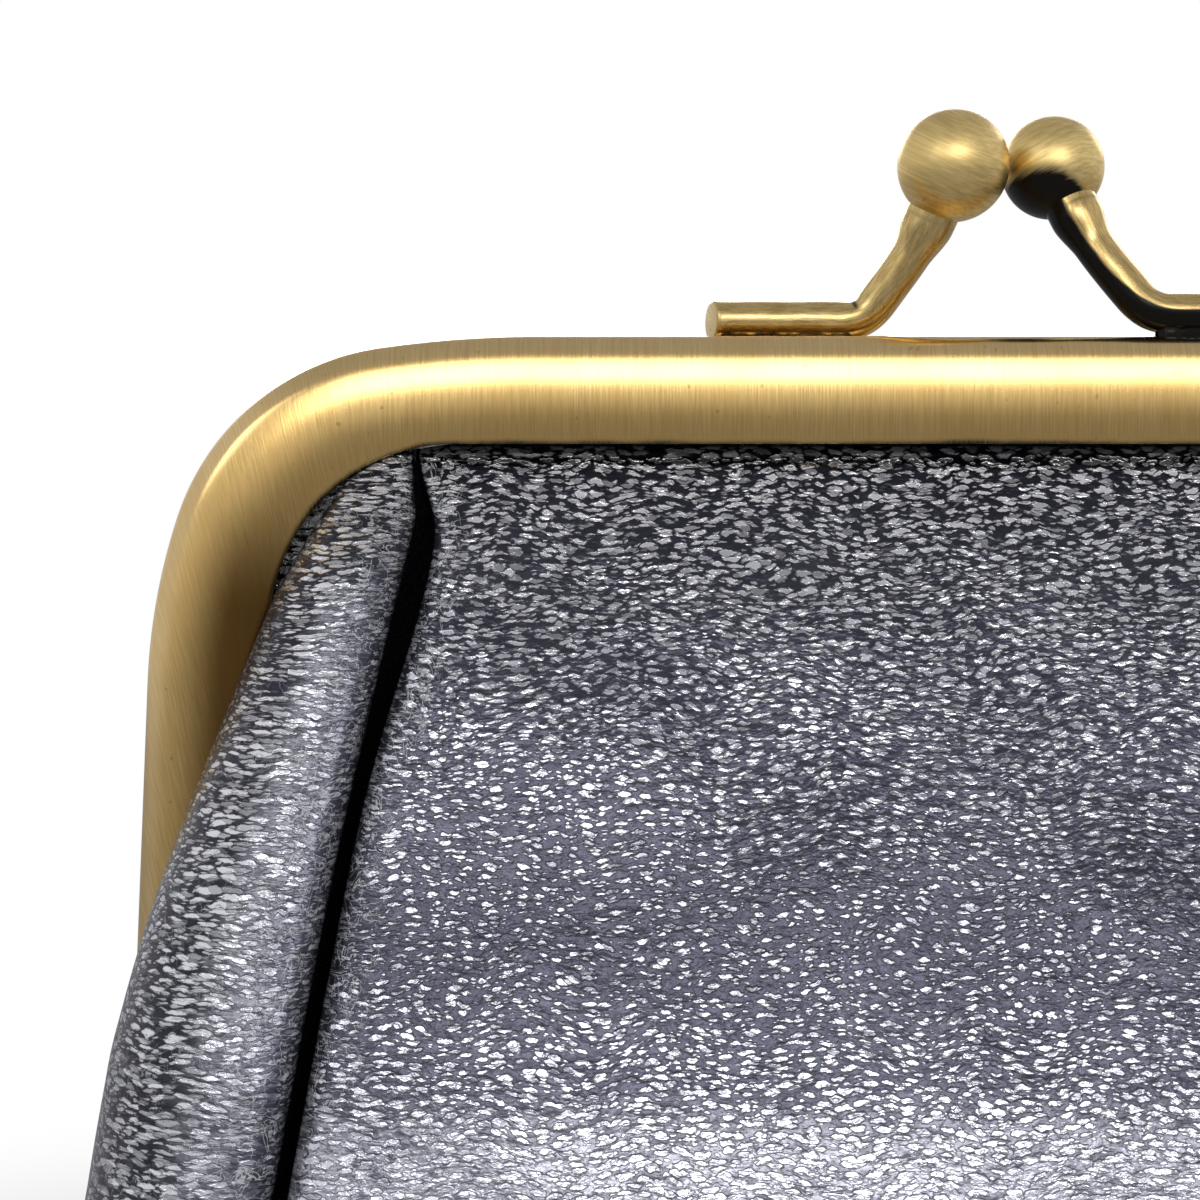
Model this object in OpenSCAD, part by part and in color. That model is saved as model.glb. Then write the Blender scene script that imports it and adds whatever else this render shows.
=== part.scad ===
// Kiss lock frame purse: two hinged brass frame halves with a ball clasp,
// holding a lined metallic leather bag with side gussets.
// X runs along the frame, the front is -Y, Z is up, and the bag stands on Z = 0.

/* [Frame] */
// Height of the frame's top edge above the table
top_z = 108; // [104:1:114]
// Length of the straight middle of the top bar
bar_len = 72; // [66:1:80]
// Radius of the shallow shoulder at each end of the straight middle
shoulder_r = 84; // [76:1:92]
// Angle that each shoulder turns through
shoulder_deg = 8.4; // [7:0.2:10]
// Radius of the tight corner of the outline
corner_r = 19.1; // [18:0.1:21]
// Angle that each tight corner turns through
corner_deg = 63.4; // [60:0.2:66]
// Radius of the easy curve from the corner into the leg
hip_r = 46.4; // [42:0.2:52]
// Angle by which the legs spread outward
flare_deg = 2.2; // [1.4:0.1:3]
// Depth of the band seen from the front, on the top bar
band_top = 8.4; // [7.8:0.1:9]
// Width of the band seen from the front, on the legs
band_leg = 9.3; // [8.8:0.1:9.8]
// Inner radius where the top bar meets a leg
mouth_r = 14; // [12:0.2:15]
// Thickness of one frame half from front to back
half_t = 4.7; // [4.6:0.1:5.2]
// Thickness of the brass strip
wall = 0.8; // [0.6:0.05:0.9]
// Radius of the rounded outer edge
crown_r = 2.2; // [2.1:0.05:2.3]
// Radius of the bowed front face
face_r = 16; // [14:0.5:20]
// Gap between the closed halves
seam_gap = 0.3; // [0.2:0.05:0.5]

/* [Hinge] */
// Distance from the frame's top edge down to the rivets
hinge_drop = 55; // [54:0.5:57]
// Radius of the round lugs that lap at the hinge
lug_r = 3.8; // [3.4:0.1:4]
// Gap from the lugs' edge to the end of the channel
lug_gap = 0.8; // [0.5:0.1:1]
// Width of the neck between a lug and its leg
neck_w = 2.2; // [1.8:0.1:2.6]
// Gap between the two lapped lugs
lap_gap = 0.1; // [0.05:0.05:0.2]
// Radius of the rivet's shank
rivet_r = 1.2; // [1:0.1:1.5]
// Clearance around the shank in the lug that turns on it
rivet_clear = 0.05; // [0.02:0.01:0.09]
// Radius of the rivet's domed outer head
rivet_head_r = 2.3; // [2:0.1:2.8]
// Height of the domed outer head
rivet_head_h = 0.9; // [0.6:0.1:1.2]
// Height of the flat peened end
rivet_peen_h = 0.5; // [0.3:0.1:0.7]

/* [Clasp] */
// Diameter of the clasp balls
ball_d = 8.2; // [7:0.1:9]
// Clearance between the balls as they pass
ball_pass = 0.04; // [0.02:0.01:0.1]
// Height of the ball centres above the frame
ball_rise = 13.4; // [12.5:0.1:15]
// How far each ball leans past the middle of the purse
ball_cross = 1.5; // [1:0.1:2]
// Diameter of the bent rods
rod_d = 3; // [2.6:0.1:3.3]
// Slope of the rising part of a rod, seen from the front
rod_rise_deg = 60; // [56:1:66]
// Radius of the bend along the rod's middle
rod_bend_r = 4; // [3.4:0.2:4.6]
// Length of the soldered foot, up to the corner of the bend
foot_len = 11.2; // [9:0.2:14]
// Depth that the foot is seated onto the crown of the frame
foot_seat = 0.3; // [0.2:0.05:0.5]
// Angle of the slanted cut at the foot's end
foot_cut_deg = 14; // [5:1:20]
// Depth of the rod's socket in the ball, short of its centre
socket_rest = 1.6; // [1:0.1:2.2]

/* [Bag] */
// Thickness of the leather
leather_t = 0.9; // [0.7:0.05:1]
// Thickness of the lining cloth
lining_t = 0.3; // [0.2:0.05:0.35]
// Thickness of the wadding behind the panels
wadding_t = 1.4; // [1:0.1:1.6]
// Largest half depth of the bag, at its middle
belly = 24.7; // [22:0.5:27]
// Half width of the bag where it is widest
bag_half_w = 71; // [70:0.5:74]
// Half width between the panel seams at the corners of the frame
seam_half_w = 45.5; // [44.5:0.1:46]
// Height of the padded lips beside the seams
lip_h = 2.4; // [1.6:0.1:2.8]
// Radius of the rounded lower corners of the panels
panel_corner_r = 12; // [9:0.5:14]
// Height of the panels' lower seam above the table
hem_z = 7; // [5:0.5:8]
// Height of the bag's round lower corners
foot_corner_h = 19; // [17:0.5:22]
// Half width of the flat strip that the bag stands on
base_half_w = 14.9; // [13:0.1:15.5]
// Half length of the separate bottom panel
base_half_len = 44; // [42:0.5:46]
// Depth of the fold under the hinge in the side gussets
side_fold = 3.5; // [2:0.1:4]
// Gap left between neighbouring pieces of the bag
fit_gap = 0.1; // [0.08:0.01:0.15]
// Thickness of the stiffening board in the base
board_t = 1.5; // [1:0.1:1.8]
// Diameter of the paper cord pressed into the channels
cord_d = 0.7; // [0.5:0.05:0.75]

/* [Hidden] */
$fn = 64;

brass = "#b08d4a";
dark_brass = "#8a6c38";
pewter = "#555a6b";
cloth = "#2f3038";
paper_brown = "#b09a74";
board_grey = "#8d8a84";
foam_white = "#dddad2";

// Centres of the outline's arcs, on the left, and the angles where they meet
turn_1 = 90 + shoulder_deg;
turn_2 = turn_1 + corner_deg;
turn_3 = 180 - flare_deg;
function toward(a) = [cos(a), sin(a)];
shoulder_c = [-bar_len / 2, top_z - shoulder_r];
corner_c = shoulder_c + (shoulder_r - corner_r) * toward(turn_1);
hip_c = corner_c + (corner_r - hip_r) * toward(turn_2);
leg_start = hip_c + hip_r * toward(turn_3);
hinge_z = top_z - hinge_drop;
leg_end_z = hinge_z + lug_r + lug_gap;
leg_len = (leg_start[1] - leg_end_z) / cos(flare_deg) + half_t;

// Distance of the outline from the middle at height z, moved inward by u
function arc_x(c, r, z) = -c[0] + sqrt(max(0, r * r - (z - c[1]) * (z - c[1])));
function outline_x(z, u = 0) =
    z > shoulder_c[1] + (shoulder_r - u) * sin(turn_1) ? arc_x(shoulder_c, shoulder_r - u, z) :
    z > corner_c[1] + (corner_r - u) * sin(turn_2) ? arc_x(corner_c, corner_r - u, z) :
    z > hip_c[1] + (hip_r - u) * sin(turn_3) ? arc_x(hip_c, hip_r - u, z) :
    -hip_c[0] + (hip_r - u) * cos(flare_deg)
        + (hip_c[1] + (hip_r - u) * sin(turn_3) - z) * tan(flare_deg);

// The mouth: the opening inside the band
mouth_top = top_z - band_top;
mouth_c = [outline_x(mouth_top - mouth_r) - band_leg - mouth_r, mouth_top - mouth_r];
mouth_leg = mouth_c + mouth_r * toward(flare_deg);
function mouth_x(z) = z > mouth_leg[1]
    ? mouth_c[0] + sqrt(max(0, mouth_r * mouth_r - (z - mouth_c[1]) * (z - mouth_c[1])))
    : mouth_leg[0] + (mouth_leg[1] - z) * tan(flare_deg);

// Section of the channel: the front face is an arc that runs into the crown
back_y = seam_gap / 2;
crown_y = back_y + crown_r;
front_y = back_y + half_t;
face_c_y = front_y - face_r;
face_c_u = crown_r + sqrt((face_r - crown_r) ^ 2 - (crown_y - face_c_y) ^ 2);
lug_sunk = 0.1;
lug_x = outline_x(leg_end_z) - lug_sunk;

// Clasp: the left rod stands on the back half and leans to the front
rod_r = rod_d / 2;
ball_x = (ball_d + ball_pass) / 2;
foot_z = top_z + rod_r - foot_seat;
ball_up = top_z + ball_rise - foot_z;
lean_deg = atan((crown_y + ball_cross) / ball_up);
rise_h = ball_up / cos(lean_deg);
rise_run = ball_up / tan(rod_rise_deg);
bend_deg = atan(rise_h / rise_run);
bend_cut = rod_bend_r * tan(bend_deg / 2);
bend_x = -ball_x - rise_run;
rise_len = sqrt(rise_h ^ 2 + rise_run ^ 2);
// The rising part is drawn a little thinner than the bend, and is rooted inside it
rise_r = rod_r - 0.03;
rise_root = 0.3;

// Bag: the leather leaves the channel at skived_y and swells to the belly
function ease(t) = let (s = min(1, max(0, t))) s * s * (3 - 2 * s);
function mix(a, b, t) = a + (b - a) * t;
skived_y = back_y + 2.9;
cut_z = hinge_z - lug_r - 0.7;
split = fit_gap;
full_z = 19.6;
belly_h = mouth_top - full_z;
hem_in = 3;
belly_power = 1.9;
edge_share = 0.82;
panel_drop_z = 23;
function swell(z) = z > mouth_top ? 0 : 1 - (max(0, z - full_z) / belly_h) ^ belly_power;
function belly_y(z) = skived_y + (belly - skived_y) * swell(z)
    - (z < panel_drop_z ? hem_in * ((panel_drop_z - z) / (panel_drop_z - hem_z)) ^ 2 : 0);
function lip(z) = lip_h * ease((mouth_top - z) / 25);
seam_slope = 0.165;
seam_turn_z = 38;
panel_corner_z = hem_z + panel_corner_r;
seam_bow_z = mouth_top - 5.6;
function seam_line(z) = z > seam_turn_z ? max(0, seam_bow_z - z) * seam_slope :
    (seam_bow_z - seam_turn_z) * seam_slope
        + seam_slope * (seam_turn_z - z) * (1 - (seam_turn_z - z) / 2 / (seam_turn_z - panel_corner_z));
seam_full = seam_half_w + seam_line(panel_corner_z);
function seam_x(z) = z > panel_corner_z ? seam_half_w + seam_line(z) :
    seam_full - panel_corner_r + sqrt(max(0, panel_corner_r ^ 2 - (panel_corner_z - z) ^ 2));
function valley_y(z) = z > panel_corner_z ? skived_y + (belly_y(z) - skived_y) * edge_share :
    mix(skived_y + (belly_y(panel_corner_z) - skived_y) * edge_share,
        belly_y(hem_z) - lip_h, (panel_corner_z - z) / panel_corner_r);
function panel_y(x, z) =
    let (s = seam_x(z), d = max(0, s - abs(x)), v = valley_y(z), l = lip(z),
        hem = lip_h * exp(-((z - hem_z) / 1.8) ^ 2))
    max(z > panel_drop_z ? skived_y : valley_y(hem_z),
        v + (belly_y(z) - l - v) * (1 - min(1, abs(x) / s) ^ 3.2)
            + l * (1 - exp(-(d / 1.8) ^ 2)) - hem * (1 - exp(-(d / 1.8) ^ 2)));

// Silhouette of the side rolls, widest where the lower corners begin
roll_power = 2.42;
roll_gain = bag_half_w - 48;
function roll_x(z) = bag_half_w
    - roll_gain * (max(0, z - foot_corner_h) / (top_z - 10.3 - foot_corner_h)) ^ roll_power;
tuck_y = front_y + 0.25;

// Solids between two outlines: each ring runs along the outer face and back along the inner one
function strip_ring(outer, inner) = [each outer, each [for (i = [len(inner) - 1:-1:0]) inner[i]]];
module loft(rings) {
    n = len(rings[0]);
    m = len(rings);
    sides = [for (k = [0:m - 2], i = [0:n - 1]) let (j = (i + 1) % n)
        each [[k * n + i, k * n + j, (k + 1) * n + j], [k * n + i, (k + 1) * n + j, (k + 1) * n + i]]];
    first_end = [for (i = [0:n / 2 - 2])
        each [[i, n - 2 - i, i + 1], [i, n - 1 - i, n - 2 - i]]];
    last = (m - 1) * n;
    last_end = [for (f = first_end) [last + f[0], last + f[2], last + f[1]]];
    polyhedron(points = [for (r = rings) each r], faces = concat(sides, first_end, last_end));
}
function behind(path, t) = [for (i = [0:len(path) - 1])
    let (a = path[max(0, i - 1)], b = path[min(len(path) - 1, i + 1)], d = (b - a) / norm(b - a))
    path[i] - t * [-d[1], d[0]]];

// Half thickness marks for mirroring a front piece to the back
module to_back() rotate([0, 0, 180]) children();
module to_right() mirror([1, 0, 0]) children();

// Filled profile of the channel strip, shrunk by the given amount, crown at a = 0
module channel_fill(inset, reach) {
    face_tip = [-face_c_u, face_c_y] + (face_r / (face_r - crown_r))
        * ([-crown_r, crown_y] - [-face_c_u, face_c_y]);
    intersection() {
        translate([-reach, back_y + inset]) square([reach + face_tip[0], 2 * half_t]);
        translate([-face_c_u, face_c_y]) circle(r = face_r - inset, $fn = 360);
    }
    translate([-crown_r, crown_y]) circle(r = crown_r - inset);
    translate([-reach, back_y + inset]) square([reach - crown_r, crown_r]);
}
module channel_section() difference() {
    channel_fill(0, band_leg + 1);
    channel_fill(wall, band_leg + 2);
}

// Sweeps a section along the outline of the front half, stopping at the leg's end
module along_frame() {
    module left_side() {
        translate([shoulder_c[0], shoulder_c[1], 0]) rotate([0, 0, 90])
            rotate_extrude(angle = shoulder_deg, $fn = 360) translate([shoulder_r, 0]) children();
        translate([corner_c[0], corner_c[1], 0]) rotate([0, 0, turn_1])
            rotate_extrude(angle = corner_deg, $fn = 180) translate([corner_r, 0]) children();
        translate([hip_c[0], hip_c[1], 0]) rotate([0, 0, turn_2])
            rotate_extrude(angle = turn_3 - turn_2, $fn = 270) translate([hip_r, 0]) children();
        translate([leg_start[0], leg_start[1], 0]) rotate([0, 0, turn_3]) translate([0, leg_len, 0])
            rotate([90, 0, 0]) linear_extrude(leg_len) children();
    }
    difference() {
        rotate([90, 0, 0]) {
            translate([-bar_len / 2, top_z, 0]) rotate([90, 0, 90]) linear_extrude(bar_len) children();
            left_side() children();
            to_right() left_side() children();
        }
        translate([-2 * lug_x, -2 * half_t, leg_end_z - top_z])
            cube([4 * lug_x, 3 * half_t, top_z]);
    }
}

module mouth_cut() {
    low_z = leg_end_z - 1;
    rotate([90, 0, 0]) translate([0, 0, -half_t]) linear_extrude(3 * half_t) {
        polygon([[-mouth_x(low_z), low_z], [-mouth_leg[0], mouth_leg[1]], [-mouth_c[0], mouth_c[1]],
            [-mouth_c[0], mouth_top], [mouth_c[0], mouth_top], [mouth_c[0], mouth_c[1]],
            [mouth_leg[0], mouth_leg[1]], [mouth_x(low_z), low_z]]);
        for (side = [-1, 1])
            translate([side * mouth_c[0], mouth_c[1]]) circle(r = mouth_r, $fn = 180);
    }
}

// Side view of a lug, with its neck reaching up into the leg
module lug_plate_outline() {
    circle(r = lug_r);
    translate([-crown_y - neck_w / 2, 0]) square([neck_w, leg_end_z - hinge_z + 2]);
}
// The left lug lies flush with the leg; the right one is joggled in behind the other half's lug
module outer_lug() translate([-lug_x, 0, hinge_z]) rotate([90, 0, 90])
    linear_extrude(wall) lug_plate_outline();
module inner_lug() {
    in_x = lug_x - wall - lap_gap;
    intersection() {
        translate([in_x - 2 * wall, 0, hinge_z]) rotate([90, 0, 90])
            linear_extrude(4 * wall) lug_plate_outline();
        rotate([90, 0, 0]) translate([0, 0, -2 * lug_r]) linear_extrude(4 * lug_r)
            polygon([[lug_x, leg_end_z + 3], [lug_x - wall, leg_end_z + 3],
                [lug_x - wall, leg_end_z + 0.2], [in_x - wall, leg_end_z - lug_gap / 4],
                [in_x - wall, hinge_z - 2 * lug_r], [in_x, hinge_z - 2 * lug_r],
                [in_x, leg_end_z - lug_gap / 2], [lug_x, leg_end_z + 0.4]]);
    }
}
module rivet_hole(side, r) translate([side * lug_x, 0, hinge_z]) rotate([0, 90, 0])
    cylinder(r = r, h = 8 * wall, center = true);

// Sheet brass channel bent to the outline, one half of the frame
module frame_half() difference() {
    union() {
        difference() {
            along_frame() channel_section();
            mouth_cut();
        }
        outer_lug();
        inner_lug();
    }
    rivet_hole(-1, rivet_r);
    rivet_hole(1, rivet_r + rivet_clear);
}
module front_frame() color(brass) frame_half();
module back_frame() color(brass) to_back() frame_half();

// Rivet: domed outer head, shank through both lugs, flat peened end inside
module rivet() {
    shank = 2 * wall + 2 * lap_gap;
    dome_r = (rivet_head_r ^ 2 + rivet_head_h ^ 2) / (2 * rivet_head_h);
    translate([-lug_x, 0, hinge_z]) rotate([0, 90, 0]) {
        cylinder(r = rivet_r, h = shank + rivet_peen_h);
        translate([0, 0, shank]) cylinder(r = rivet_r + 0.7, h = rivet_peen_h);
        intersection() {
            translate([0, 0, dome_r - rivet_head_h]) sphere(r = dome_r);
            translate([0, 0, -rivet_head_h]) cylinder(r = rivet_head_r, h = rivet_head_h);
        }
    }
}
module left_rivet() color(dark_brass) rivet();
module right_rivet() color(dark_brass) to_back() rivet();

// Bent rod of the clasp, with its foot hollowed to sit on the crown of the frame
module in_rod_frame() translate([0, crown_y, foot_z]) rotate([lean_deg, 0, 0]) children();
module clasp_rod() difference() {
    in_rod_frame() {
        translate([bend_x - bend_cut, 0, 0]) rotate([0, -90, 0]) cylinder(r = rod_r, h = foot_len - bend_cut);
        translate([bend_x - bend_cut, 0, rod_bend_r]) rotate([90, 0, 0]) rotate([0, 0, -90]) {
            rotate_extrude(angle = bend_deg, $fn = 96) translate([rod_bend_r, 0]) circle(r = rod_r);
            rotate([0, 0, bend_deg]) translate([rod_bend_r, -rise_root, 0]) rotate([-90, 0, 0])
                cylinder(r = rise_r, h = rise_root + rise_len - bend_cut - socket_rest);
        }
    }
    translate([bend_x - foot_len, crown_y, foot_z]) rotate([0, 0, -foot_cut_deg])
        translate([-4 * rod_d, 0, 0]) translate([0, -2 * rod_d, -2 * rod_d])
            cube([4 * rod_d, 4 * rod_d, 4 * rod_d]);
    translate([0, crown_y, top_z - crown_r]) rotate([0, 90, 0])
        cylinder(r = crown_r + 0.02, h = bar_len, center = true);
}
// Solid ball drilled to take the rod's end
module clasp_ball() difference() {
    translate([-ball_x, -ball_cross, top_z + ball_rise]) sphere(d = ball_d, $fn = 96);
    in_rod_frame() translate([bend_x, 0, 0]) rotate([0, 90 - bend_deg, 0])
        translate([0, 0, rise_len - ball_d]) cylinder(r = rise_r, h = ball_d - socket_rest);
}
module left_clasp_stem() color(brass) clasp_rod();
module left_clasp_ball() color(brass) clasp_ball();
module right_clasp_stem() color(brass) to_back() clasp_rod();
module right_clasp_ball() color(brass) to_back() clasp_ball();

// Paper cord pressed into the channel behind the leather and lining
cord_u = crown_r + 2.1;
cord_sides = 8;
cord_end_z = leg_end_z + 2;
function on_arc(c, r, a) = c + (r - cord_u) * toward(a);
cord_left = [[0, top_z - cord_u], each [for (t = [0:0.34:1]) on_arc(shoulder_c, shoulder_r, mix(90, turn_1, t))],
    each [for (t = [0:0.1:1]) on_arc(corner_c, corner_r, mix(turn_1, turn_2, t))],
    each [for (t = [0.25:0.25:1]) on_arc(hip_c, hip_r, mix(turn_2, turn_3, t))],
    [-outline_x(cord_end_z, cord_u), cord_end_z]];
cord_path = [each [for (i = [len(cord_left) - 1:-1:1]) cord_left[i]],
    each [for (p = cord_left) [-p[0], p[1]]]];
module channel_cord() {
    m = len(cord_path);
    y = back_y + wall + cord_d / 2 + 0.03;
    points = [for (i = [0:m - 1]) let (d = cord_path[min(m - 1, i + 1)] - cord_path[max(0, i - 1)],
        side = [-d[1], d[0]] / norm(d)) each [for (k = [0:cord_sides - 1]) let (a = 360 * (k + 0.5) / cord_sides,
            p = cord_path[i] + cord_d / 2 * cos(a) * side) [p[0], -y - cord_d / 2 * sin(a), p[1]]]];
    polyhedron(points = points, faces = [
        for (i = [0:m - 2], k = [0:cord_sides - 1]) let (a = i * cord_sides, b = a + cord_sides, j = (k + 1) % cord_sides)
            each [[a + k, b + j, a + j], [a + k, b + k, b + j]],
        [for (k = [0:cord_sides - 1]) k], [for (k = [cord_sides - 1:-1:0]) (m - 1) * cord_sides + k]]);
}
module front_channel_cord() color(paper_brown) channel_cord();
module back_channel_cord() color(paper_brown) to_back() channel_cord();

// Rows and columns of the panels, measured down from the frame and out from the middle
top_rows = [for (d = [2.6 - band_top, -0.2, 0.8, 2.1, 4.1, 7.1, 11.6, 17.6, 25.6, 33.6, 42.6]) mouth_top - d];
bottom_steps = [0, 0.2, 0.4, 0.58, 0.72, 0.83, 0.91, 0.955, 0.985, 1];
half_cols = [0, 0.25, 0.5, 0.7, 0.84, 0.92, 0.96, 0.985, 1];
cols = [each [for (i = [len(half_cols) - 1:-1:1]) -half_cols[i]], each half_cols];
function sheet_ring(z, width, near, far) = strip_ring(
    [for (c = cols) [c * width, -near(c * width), z]],
    [for (c = cols) [c * width, -far(c * width), z]]);
module panel(rows) loft([for (z = rows)
    sheet_ring(z, seam_x(z) - fit_gap, function(x) panel_y(x, z), function(x) panel_y(x, z) - leather_t)]);
panel_top_rows = [each top_rows, cut_z + split];
panel_bottom_rows = [for (s = bottom_steps) mix(cut_z - split, hem_z, s)];
module front_panel_top() color(pewter) panel(panel_top_rows);
module front_panel_bottom() color(pewter) panel(panel_bottom_rows);
module back_panel_top() color(pewter) to_back() panel(panel_top_rows);
module back_panel_bottom() color(pewter) to_back() panel(panel_bottom_rows);

// Side roll above the hinge: from the seam, round over the leg's face and into its channel
arc_steps = [90, 70, 50, 30, 12, 0];
function wing_path(z) =
    let (x0 = seam_x(z) + fit_gap, v = valley_y(z), l = lip(z), xr = roll_x(z), xm = mouth_x(z) - 0.25,
        out = ease((mouth_top - z - 9) / 7), yb = v + l + 0.3, yt = min(mix(skived_y + 1, tuck_y, out), yb - 0.3),
        xa = mix(x0, xr, 0.2))
    [[x0, v], [mix(x0, xa, 0.4), v + 0.6 * l],
        each [for (a = arc_steps) [xa + (xr - xa) * cos(a), yt + (yb - yt) * sin(a)]],
        [mix(xm, max(xm, xr - 0.5), 0.5 * out), mix(skived_y + 0.6, tuck_y, out)],
        [xm, mix(skived_y + 0.3, tuck_y - 0.5, out)], [xm + 0.05, skived_y + 0.05],
        [xm + 1, skived_y], [outline_x(z, crown_r + 0.4), skived_y]];
function wing_ring(z) = let (p = wing_path(z), q = behind(p, leather_t)) strip_ring(
    [for (a = p) [-a[0], -a[1], z]], [for (a = q) [-a[0], -a[1], z]]);
wing_drops = [3, 5, 7.4, 10.2, 13.6, 17.6, 22.6, 28.6, 34.6, 41];
module wing() loft([for (z = [each [for (d = wing_drops) mouth_top - d], hinge_z, cut_z + split]) wing_ring(z)]);
module left_front_wing() color(pewter) wing();
module right_front_wing() color(pewter) to_right() wing();
module left_back_wing() color(pewter) to_back() to_right() wing();
module right_back_wing() color(pewter) to_back() wing();

// Side gusset below the hinge: it runs down the side and round the lower corner.
// Each station has its seam point, its silhouette point and the shape between them.
function station(s) = s <= 1
    ? let (z = mix(cut_z - split, panel_corner_z, s))
        [[seam_x(z), z], [roll_x(z), z], valley_y(z), lip(z),
            mix(tuck_y, 8, ease(s)), mix(side_fold, 1, s)]
    : let (a = 90 * (s - 1), z = panel_corner_z - panel_corner_r * sin(a))
        [[base_half_len + (seam_full - base_half_len) * cos(a), z],
            [base_half_len + (bag_half_w - base_half_len) * cos(a), foot_corner_h * (1 - sin(a))],
            valley_y(z), lip_h, mix(8, base_half_w, ease(s - 1)), 2 - s];
function half_section(st, steps) =
    let (v = st[2], yb = v + st[3] + 0.3, base = st[4], len_ab = norm(st[1] - st[0]), a = 0.15)
    [[fit_gap, v], [0.4 * a * len_ab, v + 0.6 * st[3]],
        each [for (t = steps) [(a + (1 - a) * cos(t)) * len_ab, base + (yb - base) * sin(t)]],
        [len_ab - st[5], 0]];
function mirrored(path) = [each path, each [for (i = [len(path) - 2:-1:0]) [path[i][0], -path[i][1]]]];
function gusset_ring(s) =
    let (st = station(s), p = mirrored(half_section(st, arc_steps)), q = behind(p, leather_t),
        dir = (st[1] - st[0]) / norm(st[1] - st[0]), place = function(a)
            [-(st[0][0] + dir[0] * a[0]), -a[1], st[0][1] + dir[1] * a[0]])
    strip_ring([for (a = p) place(a)], [for (a = q) place(a)]);
gusset_stations = [0, 0.25, 0.5, 0.75, 1, 1.2, 1.4, 1.6, 1.8, 2];
module gusset() loft([for (s = gusset_stations) gusset_ring(s)]);
module left_gusset() color(pewter) gusset();
module right_gusset() color(pewter) to_back() gusset();

// Bottom panel: one section from seam to seam, flat where the bag stands
module bottom_panel() color(pewter) {
    fine_steps = [for (t = [90:-7.5:0]) t];
    p = mirrored(half_section(station(2), fine_steps));
    q = behind(p, leather_t);
    half_len = base_half_len - fit_gap;
    translate([-half_len, 0, 0]) rotate([90, 0, 90]) linear_extrude(2 * half_len)
        polygon([each [for (a = p) [-a[1], hem_z - a[0]]],
            each [for (i = [len(q) - 1:-1:0]) [-q[i][1], hem_z - q[i][0]]]]);
}

// Stiff board laid in the base under the lining
board_z = leather_t + 2 * fit_gap;
board_corner_r = 6;
module base_board() color(board_grey) {
    w = base_half_w - 1;
    l = base_half_len - 1;
    translate([0, 0, board_z]) linear_extrude(board_t) {
        square([2 * l, 2 * (w - board_corner_r)], center = true);
        square([2 * (l - board_corner_r), 2 * w], center = true);
        for (x = [-1, 1], y = [-1, 1])
            translate([x * (l - board_corner_r), y * (w - board_corner_r)]) circle(r = board_corner_r);
    }
}

// Wadding glued behind the middle of each panel
wadding_share = 0.9;
function wadding_y(x, z) = panel_y(x, z) - leather_t - 2 * fit_gap;
module wadding(rows) loft([for (z = rows)
    sheet_ring(z, wadding_share * seam_x(z), function(x) wadding_y(x, z),
        function(x) wadding_y(x, z) - wadding_t)]);
wadding_top_rows = [for (s = [0:0.25:1]) mix(mouth_top - 10, cut_z + split, s)];
wadding_bottom_rows = [for (s = [0:0.2:1]) mix(cut_z - split, hem_z + 6, s)];
module front_wadding_top() color(foam_white) wadding(wadding_top_rows);
module front_wadding_bottom() color(foam_white) wadding(wadding_bottom_rows);
module back_wadding_top() color(foam_white) to_back() wadding(wadding_top_rows);
module back_wadding_bottom() color(foam_white) to_back() wadding(wadding_bottom_rows);

// Lining: thin cloth, held in the channels with the leather and hanging behind the wadding
lining_edge_y = skived_y - leather_t - fit_gap;
lining_in = leather_t + wadding_t + 5 * fit_gap;
function lining_y(x, z) =
    let (d = seam_x(z) - abs(x), l = lip(z), back = mix(leather_t + fit_gap, lining_in, ease((mouth_top - z) / 9)))
    panel_y(x * 0.93, z) - back - 1.1 * ease((mouth_top - z) / 9) * exp(-(d / 6) ^ 2);
function lining_path(z) =
    let (x1 = seam_x(z) - 0.5, xm = mouth_x(z) - 1.6, xc = outline_x(z, crown_r + 1))
    z > mouth_top - 3
        ? [for (i = [0:14]) [mix(0, z > mouth_top ? seam_x(z) - 1 : mix(x1, xm, 0.3), i / 14), lining_y(0, z)]]
        : [for (c = [0, 0.25, 0.5, 0.7, 0.84, 0.92, 0.97]) [c * x1, lining_y(c * x1, z)],
            for (t = [0:0.2:1]) [mix(x1, xm, t), mix(lining_y(x1, z), lining_edge_y, t ^ 0.8)],
            [xm + 0.8, lining_edge_y], [xc, lining_edge_y]];
function lining_ring(z) =
    let (h = lining_path(z), p = [each [for (i = [14:-1:1]) [-h[i][0], h[i][1]]], each h])
    strip_ring([for (a = p) [a[0], -a[1], z]], [for (a = p) [a[0], -a[1] + lining_t, z]]);
lining_drops = [-4, 0.2, 4, 8, 13, 20, 29, 40];
module lining_top() loft([for (z = [each [for (d = lining_drops) mouth_top - d], cut_z + split]) lining_ring(z)]);
module front_lining_top() color(cloth) lining_top();
module back_lining_top() color(cloth) to_back() lining_top();

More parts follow.
